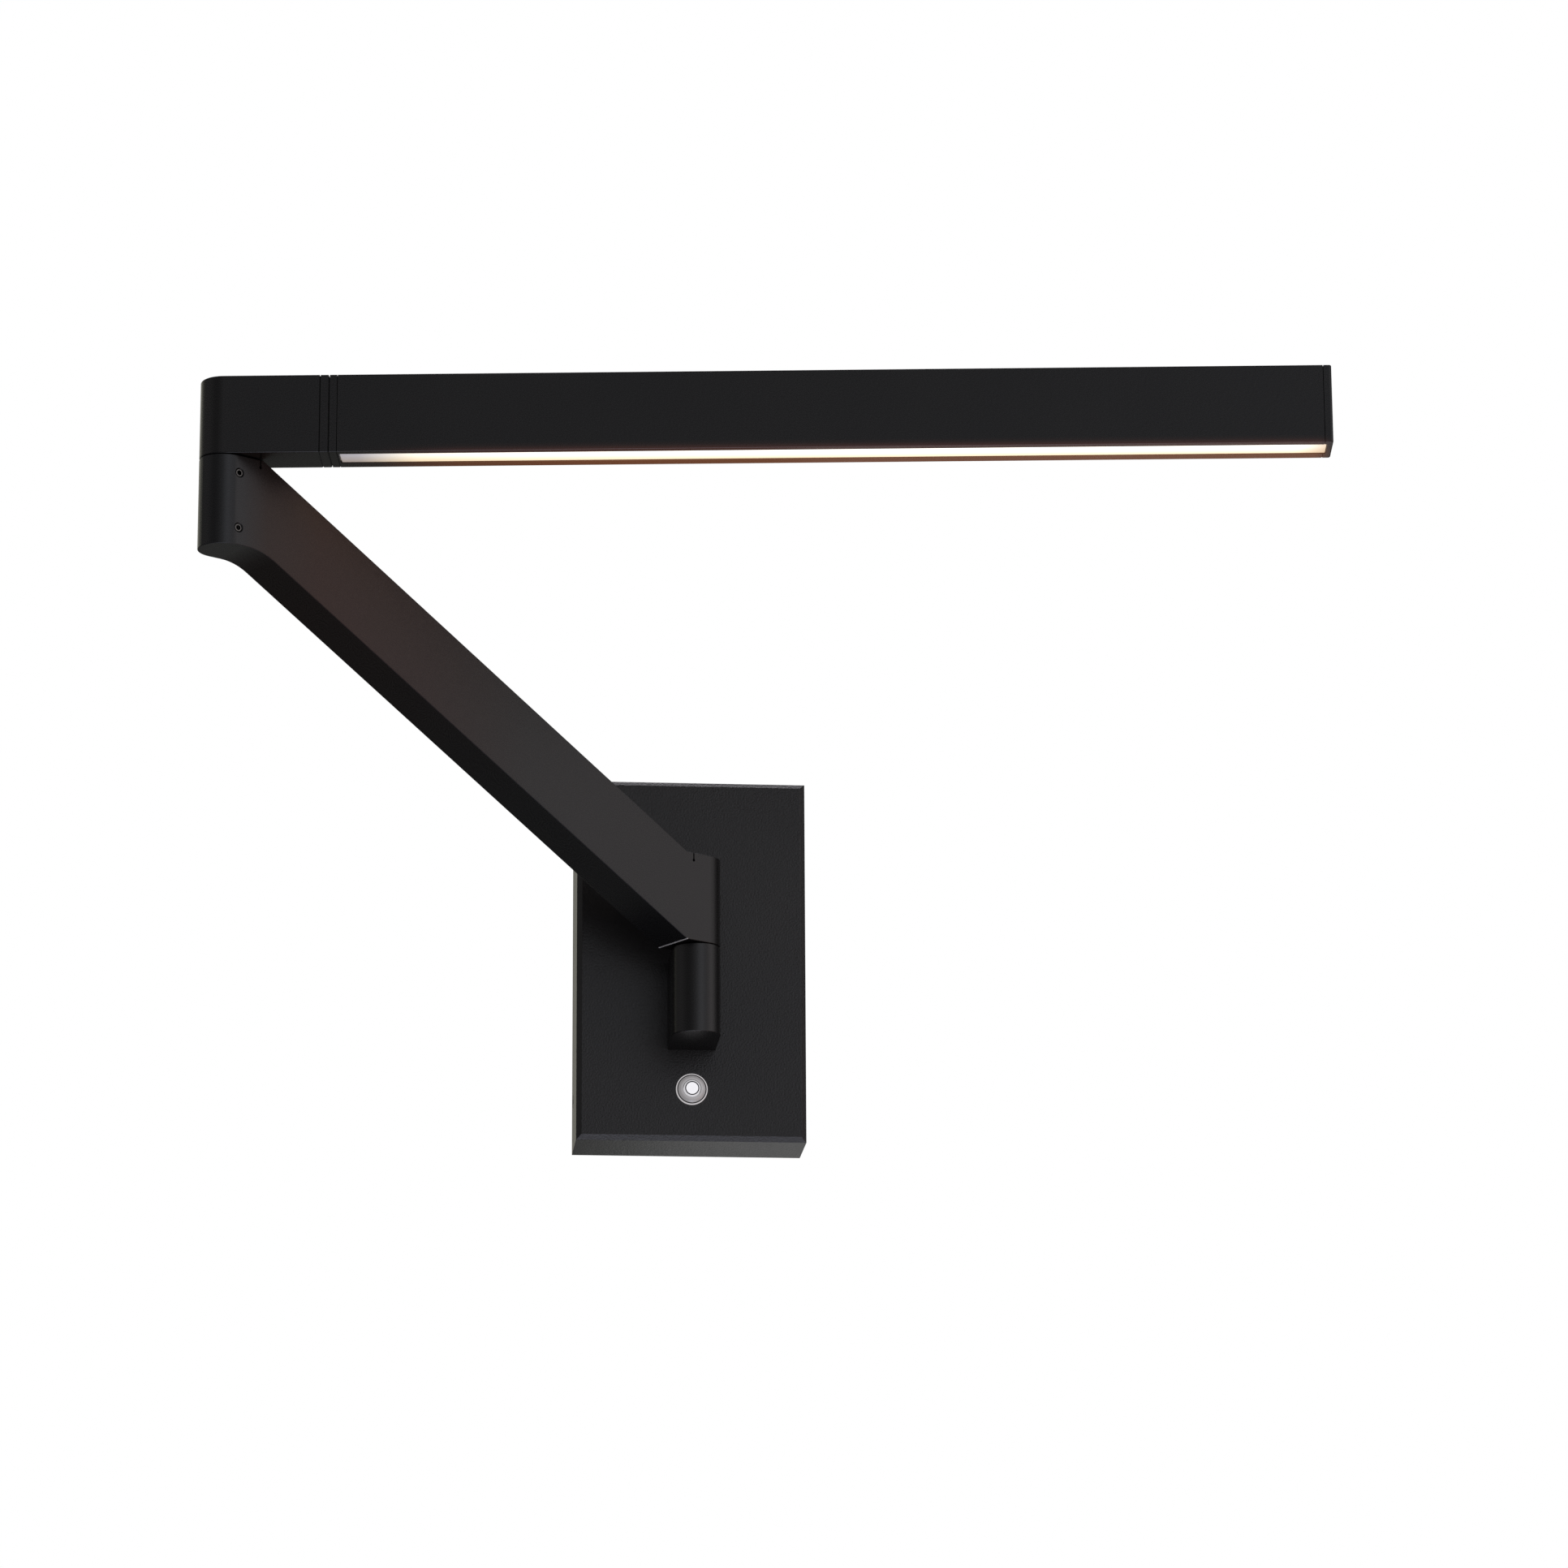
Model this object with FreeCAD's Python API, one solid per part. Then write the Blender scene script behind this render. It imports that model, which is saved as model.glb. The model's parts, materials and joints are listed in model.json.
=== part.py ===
import FreeCAD, Part

import math
import os

V = FreeCAD.Vector

# Frame: millimetres, +Z up, the wall is the plane y = 0 and the lamp stands out towards -Y.
# The origin is the centre of the canopy's back, on the wall.

# Canopy: the box that covers the wall fixing
CANOPY_WIDTH = 120.0
CANOPY_HEIGHT = 193.0
CANOPY_DEPTH = 41.0
CANOPY_CHAMFER = 2.65
CANOPY_WALL = 2.0

# Arm joints and light head share one width, with half-round ends
BODY_WIDTH = 25.0
END_R = BODY_WIDTH / 2
EDGE_R = 0.35

# Post: carries the arm in front of the canopy
POST_REACH = 32.0
POST_BOTTOM = -48.5
POST_TOP = -2.0
PIVOT_Y = -(CANOPY_DEPTH + POST_REACH)

# Arm: a parallelogram between two upright knuckles
ARM_ANGLE = 213.0
ARM_LENGTH = 295.0
KNUCKLE_HEIGHT = 46.5
ARM_GAP = 0.35
LOWER_KNUCKLE_BOTTOM = POST_TOP + ARM_GAP
LOWER_KNUCKLE_TOP = LOWER_KNUCKLE_BOTTOM + KNUCKLE_HEIGHT
ARM_RISE = 158.5
UPPER_KNUCKLE_BOTTOM = LOWER_KNUCKLE_BOTTOM + ARM_RISE
UPPER_KNUCKLE_TOP = UPPER_KNUCKLE_BOTTOM + KNUCKLE_HEIGHT
KNUCKLE_FLAT = 15.0
KNUCKLE_FILLET = 30.0
ARM_WALL = 3.0
ARM_FLOOR = 4.0
LID_THICKNESS = 1.6
LID_LEDGE = 1.4
SLIT_TUCK = 0.1
SLIT_WIDTH = 0.8
SLIT_DEPTH = 4.0
SLIT_HOLE_R = 0.8
LOWER_SLIT_INSET = 4.4
UPPER_SLIT_INSET = 2.0

# Light head: hub, collar and bar in one line
HEAD_ANGLE = -6.0
HEAD_HEIGHT = 40.5
HEAD_BOTTOM = UPPER_KNUCKLE_TOP + ARM_GAP
HEAD_TOP = HEAD_BOTTOM + HEAD_HEIGHT
HEAD_MIDDLE = (HEAD_BOTTOM + HEAD_TOP) / 2
HUB_LENGTH = 47.95
COLLAR_THICKNESS = 4.8
COLLAR_STEP = 0.35
ROLL_GAP = 0.35
SEAM = 0.6
FINE_SEAM = 0.35
SEAM_DEPTH = 1.3
SHALLOW_SEAM = 0.4
END_PLATE_THICKNESS = 3.9
BAR_END = 546.4
END_CAP_THICKNESS = 4.3
END_CAP_CORNER_R = 1.2
HUB_WALL = 2.6
HUB_FLOOR = 5.0
CASE_EDGE = 0.7

# Bar section
BAR_WALL = 1.8
LIP_THICKNESS = 1.5
FRONT_LIP = 4.0
REAR_LIP = 6.7
WINDOW_INSET = 0.8
LENS_GAP = 0.3
LENS_END_GAP = 0.55
LENS_RECESS = 0.5
LENS_OVERHANG = 1.1
BAR_START = HUB_LENGTH + COLLAR_THICKNESS + ROLL_GAP + END_PLATE_THICKNESS

# Pivots
TUBE_R = 5.0
TUBE_BORE_R = 3.5
SHAFT_R = 6.0
SHAFT_BORE_R = 4.0
RUNNING = 0.05
PRESS = 0.02
CLEAR = 0.3
WASHER_THICKNESS = 1.0
WASHER_R = 9.0
NUT_HEIGHT = 4.5
NUT_FLATS = 14.0
SHAFT_NUT_FLATS = 16.0

# Push switch in the canopy front
SWITCH_Z = -69.6
BEZEL_R = 8.25
BEZEL_HEIGHT = 2.6
BEZEL_LIP_R = 5.2
BEZEL_DOME_R = 7.3
BEZEL_DOME_BULGE = 0.75
BEZEL_GROOVE = 0.2
BEZEL_GROOVE_HEIGHT = 0.5
BEZEL_RIM_HEIGHT = 0.95
BUTTON_R = 4.3
BUTTON_HEIGHT = 3.5
BUTTON_DISC_R = 3.2
BUTTON_GROOVE = 0.4
BARREL_R = 6.0
BARREL_LENGTH = 11.0
SWITCH_BODY = 13.0
SWITCH_BODY_DEPTH = 12.0

# Wall bracket
SHEET = 2.0
BRACKET_CLEARANCE = 0.3
FLANGE_DEPTH = 14.0
BOX_SCREW_SPACING = 88.9
SLOT_WIDTH = 5.5
SLOT_LENGTH = 15.0
CABLE_HOLE_R = 10.0
SIDE_SCREW_Y = -9.0
SIDE_SCREW_Z = 70.0

LED_PITCH = 12.0


def box(x0, x1, y0, y1, z0, z1):
    return Part.makeBox(x1 - x0, y1 - y0, z1 - z0, V(x0, y0, z0))


def rod(radius, start, end):
    """Cylinder between two points."""
    axis = end - start
    return Part.makeCylinder(radius, axis.Length, start, axis)


def cone(r0, r1, start, end):
    axis = end - start
    return Part.makeCone(r0, r1, axis.Length, start, axis)


def hexagon(flats, start, end):
    """Hexagonal bar between two points, on any of the three main axes."""
    axis = end - start
    side = V(0, 0, 1) if abs(axis.z) < 0.5 * axis.Length else V(1, 0, 0)
    other = axis.cross(side).normalize()
    corner = flats / math.sqrt(3)
    points = []
    for step in range(7):
        turn = math.radians(60 * step)
        points.append(start + side * (corner * math.cos(turn)) + other * (corner * math.sin(turn)))
    return Part.Face(Part.makePolygon(points)).extrude(axis)


def ring(outer_r, inner_r, start, end):
    """Washer or tube between two points."""
    return rod(outer_r, start, end).cut(rod(inner_r, start, end))


def nut(flats, bore_r, start, end):
    return hexagon(flats, start, end).cut(rod(bore_r, start, end))


def flat_screw(head_r, shank_r, length, top, direction):
    """Countersunk screw: top is the centre of its flat head, direction points into the work."""
    head = cone(head_r, shank_r, top, top + direction * (head_r - shank_r))
    shank = rod(shank_r, top, top + direction * length)
    socket = hexagon(head_r * 0.75, top, top + direction * (head_r * 0.45))
    return head.fuse(shank).cut(socket)


def pan_screw(head_r, head_height, shank_r, length, seat, direction):
    """Cheese-head screw: seat is the centre of the face under its head."""
    head = rod(head_r, seat - direction * head_height, seat)
    head = head.makeFillet(head_height * 0.3, [head.Edges[0], head.Edges[2]])
    shank = rod(shank_r, seat - direction * 0.1, seat + direction * length)
    socket_end = seat - direction * (head_height * 0.6)
    socket = hexagon(head_r * 0.83, seat - direction * (head_height + 0.1), socket_end)
    return head.fuse(shank).cut(socket)


def group(shapes):
    return Part.makeCompound(shapes)


def along_arm(shape):
    """Put a shape drawn along +X from the lower pivot onto the arm as it stands."""
    placed = shape.copy()
    placed.rotate(V(0, 0, 0), V(0, 0, 1), ARM_ANGLE)
    placed.translate(V(0, PIVOT_Y, 0))
    return placed


def along_head(shape):
    """Put a shape drawn along +X from the upper pivot onto the head as it stands."""
    turn = math.radians(ARM_ANGLE)
    placed = shape.copy()
    placed.rotate(V(0, 0, 0), V(0, 0, 1), HEAD_ANGLE)
    placed.translate(V(ARM_LENGTH * math.cos(turn), PIVOT_Y + ARM_LENGTH * math.sin(turn), 0))
    return placed


# ---- Fixed to the wall ----


def side_screw_spots():
    """Centre of each cover screw's head and the way it points."""
    half = CANOPY_WIDTH / 2
    spots = []
    for side in (-1, 1):
        for z in (-SIDE_SCREW_Z, SIDE_SCREW_Z):
            spots.append((V(side * half, SIDE_SCREW_Y, z), V(-side, 0, 0)))
    return spots


SIDE_HEAD_R = 3.6
SIDE_SHANK_R = 2.0


def cover_screws():
    screws = []
    for top, inward in side_screw_spots():
        screws.append(flat_screw(SIDE_HEAD_R, SIDE_SHANK_R, 8.0, top + inward * 0.15, inward))
    return group(screws)


POST_SCREW_X = 7.0
POST_SCREW_Z = (POST_BOTTOM + 9.0, POST_TOP - 9.0)
POST_SCREW_R = 2.0
POST_CABLE_Z = (POST_BOTTOM + POST_TOP) / 2
POST_CABLE_R = 4.5


def post_screw_spots():
    spots = []
    for x in (-POST_SCREW_X, POST_SCREW_X):
        for z in POST_SCREW_Z:
            spots.append((x, z))
    return spots


def edges_off_plane(shape, y):
    """Edges that don't lie in the plane at y or end on it."""
    return [e for e in shape.Edges if all(abs(v.Y - y) > 1e-6 for v in e.Vertexes)]


def canopy_cover():
    half = CANOPY_WIDTH / 2
    tall = CANOPY_HEIGHT / 2
    shell = box(-half, half, -CANOPY_DEPTH, 0, -tall, tall)
    front = [e for e in shell.Edges if all(abs(v.Y + CANOPY_DEPTH) < 1e-6 for v in e.Vertexes)]
    shell = shell.makeChamfer(CANOPY_CHAMFER, front)
    shell = shell.makeFillet(EDGE_R, edges_off_plane(shell, 0))
    inner_half = half - CANOPY_WALL
    inner_tall = tall - CANOPY_WALL
    shell = shell.cut(box(-inner_half, inner_half, -CANOPY_DEPTH + CANOPY_WALL, 1, -inner_tall, inner_tall))
    # holes for the switch barrel, the lead into the post and the post screws
    shell = shell.cut(rod(BARREL_R + 0.1, V(0, -CANOPY_DEPTH - 1, SWITCH_Z), V(0, -30, SWITCH_Z)))
    shell = shell.cut(rod(POST_CABLE_R, V(0, -CANOPY_DEPTH - 1, POST_CABLE_Z), V(0, -30, POST_CABLE_Z)))
    for x, z in post_screw_spots():
        shell = shell.cut(rod(POST_SCREW_R + 0.2, V(x, -CANOPY_DEPTH - 1, z), V(x, -30, z)))
    for top, inward in side_screw_spots():
        sink = cone(SIDE_HEAD_R + 0.15, SIDE_SHANK_R + 0.15, top, top + inward * (SIDE_HEAD_R - SIDE_SHANK_R))
        hole = rod(SIDE_SHANK_R + 0.15, top - inward, top + inward * 3)
        shell = shell.cut(sink.fuse(hole))
    return shell


def wall_bracket():
    half = CANOPY_WIDTH / 2 - CANOPY_WALL - BRACKET_CLEARANCE
    tall = CANOPY_HEIGHT / 2 - CANOPY_WALL - BRACKET_CLEARANCE
    plate = box(-half, half, -SHEET, 0, -tall, tall)
    for side in (-1, 1):
        outer = side * half
        inner = side * (half - SHEET)
        flange = box(min(outer, inner), max(outer, inner), -FLANGE_DEPTH, -SHEET, -tall, tall)
        plate = plate.fuse(flange)
    plate = plate.removeSplitter()
    # slotted holes for the screws of a wall box, and the supply cable's entry
    run = SLOT_LENGTH - SLOT_WIDTH
    for side in (-1, 1):
        middle = side * BOX_SCREW_SPACING / 2
        radius = SLOT_WIDTH / 2
        slot = box(middle - run / 2, middle + run / 2, -SHEET - 1, 1, -radius, radius)
        for end in (-1, 1):
            x = middle + end * run / 2
            slot = slot.fuse(rod(radius, V(x, -SHEET - 1, 0), V(x, 1, 0)))
        plate = plate.cut(slot)
    plate = plate.cut(rod(CABLE_HOLE_R, V(0, -SHEET - 1, 0), V(0, 1, 0)))
    for top, inward in side_screw_spots():
        plate = plate.cut(rod(SIDE_SHANK_R - PRESS, top, top + inward * 8))
    for x, z in driver_screw_spots():
        plate = plate.cut(rod(DRIVER_SCREW_R - PRESS, V(x, -SHEET - 1, z), V(x, 1, z)))
    plate = plate.cut(rod(EARTH_R - PRESS, V(EARTH_X, -SHEET - 1, EARTH_Z), V(EARTH_X, 1, EARTH_Z)))
    for x in TERMINAL_FIX_X:
        plate = plate.cut(rod(TERMINAL_FIX_R - PRESS, V(x, -SHEET - 1, TERMINAL_Z), V(x, 1, TERMINAL_Z)))
    return plate


def cable_grommet():
    inner = 6.0
    sleeve = ring(CABLE_HOLE_R + PRESS, inner, V(0, -SHEET, 0), V(0, 0, 0))
    flange = ring(CABLE_HOLE_R + 2.5, inner, V(0, -SHEET - 1.8, 0), V(0, -SHEET, 0))
    return flange.fuse(sleeve).removeSplitter()


EARTH_X = 30.0
EARTH_Z = -24.0
EARTH_R = 2.0


def earth_screw():
    washer = rod(4.5, V(EARTH_X, -SHEET - 0.8, EARTH_Z), V(EARTH_X, -SHEET, EARTH_Z))
    seat = V(EARTH_X, -SHEET - 0.7, EARTH_Z)
    return pan_screw(3.6, 2.6, EARTH_R, SHEET + 0.7, seat, V(0, 1, 0)).fuse(washer)


# The driver lies across the top half of the bracket
DRIVER_LENGTH = 84.0
DRIVER_HEIGHT = 38.0
DRIVER_DEPTH = 23.0
DRIVER_Z = 50.0
DRIVER_EAR = 7.0
DRIVER_EAR_THICKNESS = 2.0
DRIVER_SCREW_R = 1.6


def driver_screw_spots():
    reach = DRIVER_LENGTH / 2 + DRIVER_EAR / 2
    return [(-reach, DRIVER_Z), (reach, DRIVER_Z)]


def led_driver():
    back = -SHEET
    half = DRIVER_LENGTH / 2
    tall = DRIVER_HEIGHT / 2
    case = box(-half, half, back - DRIVER_DEPTH, back, DRIVER_Z - tall, DRIVER_Z + tall)
    case = case.makeFillet(2.0, case.Edges)
    foot = back - DRIVER_EAR_THICKNESS
    case = case.fuse(box(-half + 3, half - 3, foot, back, DRIVER_Z - tall + 3, DRIVER_Z + tall - 3))
    ears = box(-half - DRIVER_EAR, half + DRIVER_EAR, foot, back, DRIVER_Z - 7, DRIVER_Z + 7)
    case = case.fuse(ears).removeSplitter()
    for x, z in driver_screw_spots():
        case = case.cut(rod(DRIVER_SCREW_R + 0.1, V(x, back - 5, z), V(x, 1, z)))
    return case


def driver_screws():
    screws = []
    for x, z in driver_screw_spots():
        seat = V(x, -SHEET - DRIVER_EAR_THICKNESS, z)
        screws.append(pan_screw(3.0, 2.0, DRIVER_SCREW_R, SHEET + DRIVER_EAR_THICKNESS, seat, V(0, 1, 0)))
    return group(screws)


TERMINAL_Z = -26.0
TERMINAL_X = -16.0
TERMINAL_WAYS = 3
TERMINAL_PITCH = 9.0
TERMINAL_HEIGHT = 17.0
TERMINAL_DEPTH = 14.0
TERMINAL_FIX_R = 1.5
TERMINAL_FIX_X = (TERMINAL_X - TERMINAL_PITCH / 2, TERMINAL_X + TERMINAL_PITCH / 2)


def terminal_way_x(way):
    return TERMINAL_X + (way - (TERMINAL_WAYS - 1) / 2) * TERMINAL_PITCH


def terminal_block():
    back = -SHEET
    front = back - TERMINAL_DEPTH
    base_front = back - 4.0
    half = TERMINAL_WAYS * TERMINAL_PITCH / 2
    low = TERMINAL_Z - TERMINAL_HEIGHT / 2
    high = TERMINAL_Z + TERMINAL_HEIGHT / 2
    block = box(TERMINAL_X - half, TERMINAL_X + half, base_front, back, low, high)
    for way in range(TERMINAL_WAYS):
        x = terminal_way_x(way)
        block = block.fuse(box(x - 3.6, x + 3.6, front, base_front + 0.5, low, high))
    block = block.removeSplitter()
    for way in range(TERMINAL_WAYS):
        x = terminal_way_x(way)
        middle = (front + base_front) / 2
        block = block.cut(rod(1.8, V(x, middle, low - 1), V(x, middle, low + 6)))
        block = block.cut(rod(1.8, V(x, middle, high - 6), V(x, middle, high + 1)))
        for z in (TERMINAL_Z - 5, TERMINAL_Z + 5):
            block = block.cut(rod(1.9, V(x, front - 1, z), V(x, middle - 1.8, z)))
    for x in TERMINAL_FIX_X:
        block = block.cut(rod(TERMINAL_FIX_R + 0.1, V(x, front - 1, TERMINAL_Z), V(x, 1, TERMINAL_Z)))
    return block


def terminal_screws():
    """Clamp screws of the block and the two that hold it to the bracket."""
    front = -SHEET - TERMINAL_DEPTH
    screws = []
    for way in range(TERMINAL_WAYS):
        x = terminal_way_x(way)
        for z in (TERMINAL_Z - 5, TERMINAL_Z + 5):
            screw = rod(1.7, V(x, front + 0.8, z), V(x, front + 3.1, z))
            slot = box(x - 2, x + 2, front + 0.7, front + 1.5, z - 0.3, z + 0.3)
            screws.append(screw.cut(slot))
    for x in TERMINAL_FIX_X:
        seat = V(x, -SHEET - 4.0, TERMINAL_Z)
        screw = rod(TERMINAL_FIX_R, seat, V(x, -0.2, TERMINAL_Z))
        screws.append(screw)
    return group(screws)


def level_edges(shape):
    """Horizontal edges, less those that lie on the canopy."""
    found = []
    for edge in shape.Edges:
        heights = [v.Z for v in edge.Vertexes]
        on_canopy = all(abs(v.Y + CANOPY_DEPTH) < 1e-6 for v in edge.Vertexes)
        if max(heights) - min(heights) < 1e-6 and not on_canopy:
            found.append(edge)
    return found


def wall_post():
    face = -CANOPY_DEPTH
    post = box(-END_R, END_R, PIVOT_Y, face, POST_BOTTOM, POST_TOP)
    post = post.fuse(rod(END_R, V(0, PIVOT_Y, POST_BOTTOM), V(0, PIVOT_Y, POST_TOP))).removeSplitter()
    post = post.makeFillet(EDGE_R, level_edges(post))
    # the tube's bore, the washer's recess and the passage for the lead
    tube_seat = POST_BOTTOM + 12
    post = post.cut(rod(TUBE_R - PRESS, V(0, PIVOT_Y, tube_seat), V(0, PIVOT_Y, POST_TOP + 1)))
    post = post.cut(rod(WASHER_R + 0.1, V(0, PIVOT_Y, THRUST_BOTTOM_LOWER), V(0, PIVOT_Y, POST_TOP + 1)))
    post = post.cut(rod(POST_CABLE_R, V(0, PIVOT_Y, POST_CABLE_Z), V(0, face + 1, POST_CABLE_Z)))
    for x, z in post_screw_spots():
        post = post.cut(rod(POST_SCREW_R - PRESS, V(x, face - 12, z), V(x, face + 1, z)))
    return post


BACKING_THICKNESS = 3.0
BACKING_Y = -CANOPY_DEPTH + CANOPY_WALL


def post_screws():
    screws = []
    for x, z in post_screw_spots():
        seat = V(x, BACKING_Y + BACKING_THICKNESS, z)
        screws.append(pan_screw(3.6, 3.0, POST_SCREW_R, 16.0, seat, V(0, -1, 0)))
    return group(screws)


def post_backing_plate():
    middle = POST_CABLE_Z
    plate = box(-26, 26, BACKING_Y, BACKING_Y + BACKING_THICKNESS, middle - 29, middle + 29)
    upright = [e for e in plate.Edges if abs(e.Vertexes[0].Y - e.Vertexes[-1].Y) > 1]
    plate = plate.makeFillet(5.0, upright)
    plate = plate.cut(rod(POST_CABLE_R + 1, V(0, BACKING_Y - 1, middle), V(0, BACKING_Y + 5, middle)))
    for x, z in post_screw_spots():
        plate = plate.cut(rod(POST_SCREW_R + 0.2, V(x, BACKING_Y - 1, z), V(x, BACKING_Y + 5, z)))
    return plate


# Stack on the lower pivot, from the washer in the post up to the nut inside the knuckle
THRUST_TOP_LOWER = LOWER_KNUCKLE_BOTTOM - CLEAR
THRUST_BOTTOM_LOWER = THRUST_TOP_LOWER - WASHER_THICKNESS
KNUCKLE_FLOOR_TOP = LOWER_KNUCKLE_BOTTOM + 6.0
FRICTION_BOTTOM_LOWER = KNUCKLE_FLOOR_TOP + CLEAR
FRICTION_TOP_LOWER = FRICTION_BOTTOM_LOWER + WASHER_THICKNESS
TUBE_TOP = FRICTION_TOP_LOWER + NUT_HEIGHT + 3.0


def lower_pivot_tube():
    tube = ring(TUBE_R, TUBE_BORE_R, V(0, PIVOT_Y, POST_BOTTOM + 12), V(0, PIVOT_Y, TUBE_TOP))
    # window that lets the lead in from the post's cross passage
    return tube.cut(rod(TUBE_BORE_R - 0.3, V(0, PIVOT_Y, POST_CABLE_Z), V(0, PIVOT_Y + 10, POST_CABLE_Z)))


def on_lower_pivot(low, high):
    return V(0, PIVOT_Y, low), V(0, PIVOT_Y, high)


def lower_thrust_washer():
    return ring(WASHER_R, TUBE_R + PRESS, *on_lower_pivot(THRUST_BOTTOM_LOWER, THRUST_TOP_LOWER))


def lower_friction_washer():
    return ring(WASHER_R - 1, TUBE_R + PRESS, *on_lower_pivot(FRICTION_BOTTOM_LOWER, FRICTION_TOP_LOWER))


def lower_pivot_nut():
    return nut(NUT_FLATS, TUBE_R - PRESS, *on_lower_pivot(FRICTION_TOP_LOWER, FRICTION_TOP_LOWER + NUT_HEIGHT))


def switch_bezel():
    """Flange with a rounded rim and a fine groove, a domed rise to the bore, and the barrel behind."""
    bore = BUTTON_R + CLEAR

    def at(radius, height):
        return V(radius, -CANOPY_DEPTH - height, SWITCH_Z)

    groove_end = BEZEL_DOME_R + BEZEL_GROOVE
    rim_middle = (groove_end + BEZEL_R) / 2
    dome_middle = at(BEZEL_DOME_R - BEZEL_DOME_BULGE, (BEZEL_HEIGHT + BEZEL_GROOVE_HEIGHT) / 2 + BEZEL_DOME_BULGE / 2)
    profile = [
        Part.makeLine(at(bore, -BARREL_LENGTH), at(bore, BEZEL_HEIGHT)),
        Part.makeLine(at(bore, BEZEL_HEIGHT), at(BEZEL_LIP_R, BEZEL_HEIGHT)),
        Part.Arc(at(BEZEL_LIP_R, BEZEL_HEIGHT), dome_middle, at(BEZEL_DOME_R, BEZEL_GROOVE_HEIGHT)).toShape(),
        Part.makeLine(at(BEZEL_DOME_R, BEZEL_GROOVE_HEIGHT), at(groove_end, BEZEL_GROOVE_HEIGHT)),
        Part.Arc(
            at(groove_end, BEZEL_GROOVE_HEIGHT),
            at(rim_middle, BEZEL_RIM_HEIGHT),
            at(BEZEL_R, BEZEL_GROOVE_HEIGHT),
        ).toShape(),
        Part.makeLine(at(BEZEL_R, BEZEL_GROOVE_HEIGHT), at(BEZEL_R, 0)),
        Part.makeLine(at(BEZEL_R, 0), at(BARREL_R, 0)),
        Part.makeLine(at(BARREL_R, 0), at(BARREL_R, -BARREL_LENGTH)),
        Part.makeLine(at(BARREL_R, -BARREL_LENGTH), at(bore, -BARREL_LENGTH)),
    ]
    return Part.Face(Part.Wire(profile)).revolve(V(0, 0, SWITCH_Z), V(0, 1, 0), 360)


def switch_nut():
    start = V(0, -CANOPY_DEPTH + CANOPY_WALL, SWITCH_Z)
    return nut(15.0, BARREL_R - PRESS, start, start + V(0, 2.5, 0))


def switch_body():
    front = -CANOPY_DEPTH + BARREL_LENGTH
    half = SWITCH_BODY / 2
    body = box(-half, half, front, front + SWITCH_BODY_DEPTH, SWITCH_Z - half, SWITCH_Z + half)
    return body.makeFillet(0.8, body.Edges)


def switch_terminals():
    back = -CANOPY_DEPTH + BARREL_LENGTH + SWITCH_BODY_DEPTH
    tabs = []
    for x in (-3.2, 3.2):
        tab = box(x - 0.4, x + 0.4, back - 0.5, back + 7, SWITCH_Z - 1.6, SWITCH_Z + 1.6)
        tabs.append(tab.cut(rod(0.7, V(x - 1, back + 5, SWITCH_Z), V(x + 1, back + 5, SWITCH_Z))))
    return group(tabs)


# ---- Push button ----

BUTTON_TRAVEL = 1.5


def push_button():
    """Round button with a rounded rim and a fine groove around its middle disc."""
    front = -CANOPY_DEPTH - BUTTON_HEIGHT
    back = -CANOPY_DEPTH + BARREL_LENGTH - BUTTON_TRAVEL - CLEAR
    stem = rod(BUTTON_R, V(0, front, SWITCH_Z), V(0, back, SWITCH_Z))
    rim = [e for e in stem.Edges if e.Closed and abs(e.Vertexes[0].Y - front) < 1e-6]
    stem = stem.makeFillet(0.6, rim)
    groove_bottom = front + BUTTON_GROOVE
    return stem.cut(ring(
        BUTTON_DISC_R + BUTTON_GROOVE, BUTTON_DISC_R, V(0, front - 1, SWITCH_Z), V(0, groove_bottom, SWITCH_Z)
    ))


# ---- Arm, drawn along +X from the lower pivot ----

RUN = ARM_LENGTH - 2 * KNUCKLE_FLAT
SLOPE = math.atan2(ARM_RISE, RUN)


def arm_outline(inset_floor, top_cut):
    """Side view of the arm between its pivots; inset_floor raises the floor, top_cut raises the roof."""
    lift = inset_floor / math.cos(SLOPE)
    raised = top_cut / math.cos(SLOPE)
    near = KNUCKLE_FLAT
    far = ARM_LENGTH - KNUCKLE_FLAT
    return [
        V(near, 0, LOWER_KNUCKLE_BOTTOM + lift),
        V(far, 0, UPPER_KNUCKLE_BOTTOM + lift),
        V(far, 0, UPPER_KNUCKLE_TOP + raised),
        V(near, 0, LOWER_KNUCKLE_TOP + raised),
    ]


def outline_edges(shape):
    """Every edge except the upright ones where the flat sides run into the round ends."""
    found = []
    for edge in shape.Edges:
        start = edge.Vertexes[0].Point
        end = edge.Vertexes[-1].Point
        upright = abs(start.x - end.x) + abs(start.y - end.y) < 1e-6 and not edge.Closed
        if not upright:
            found.append(edge)
    return found


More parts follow.
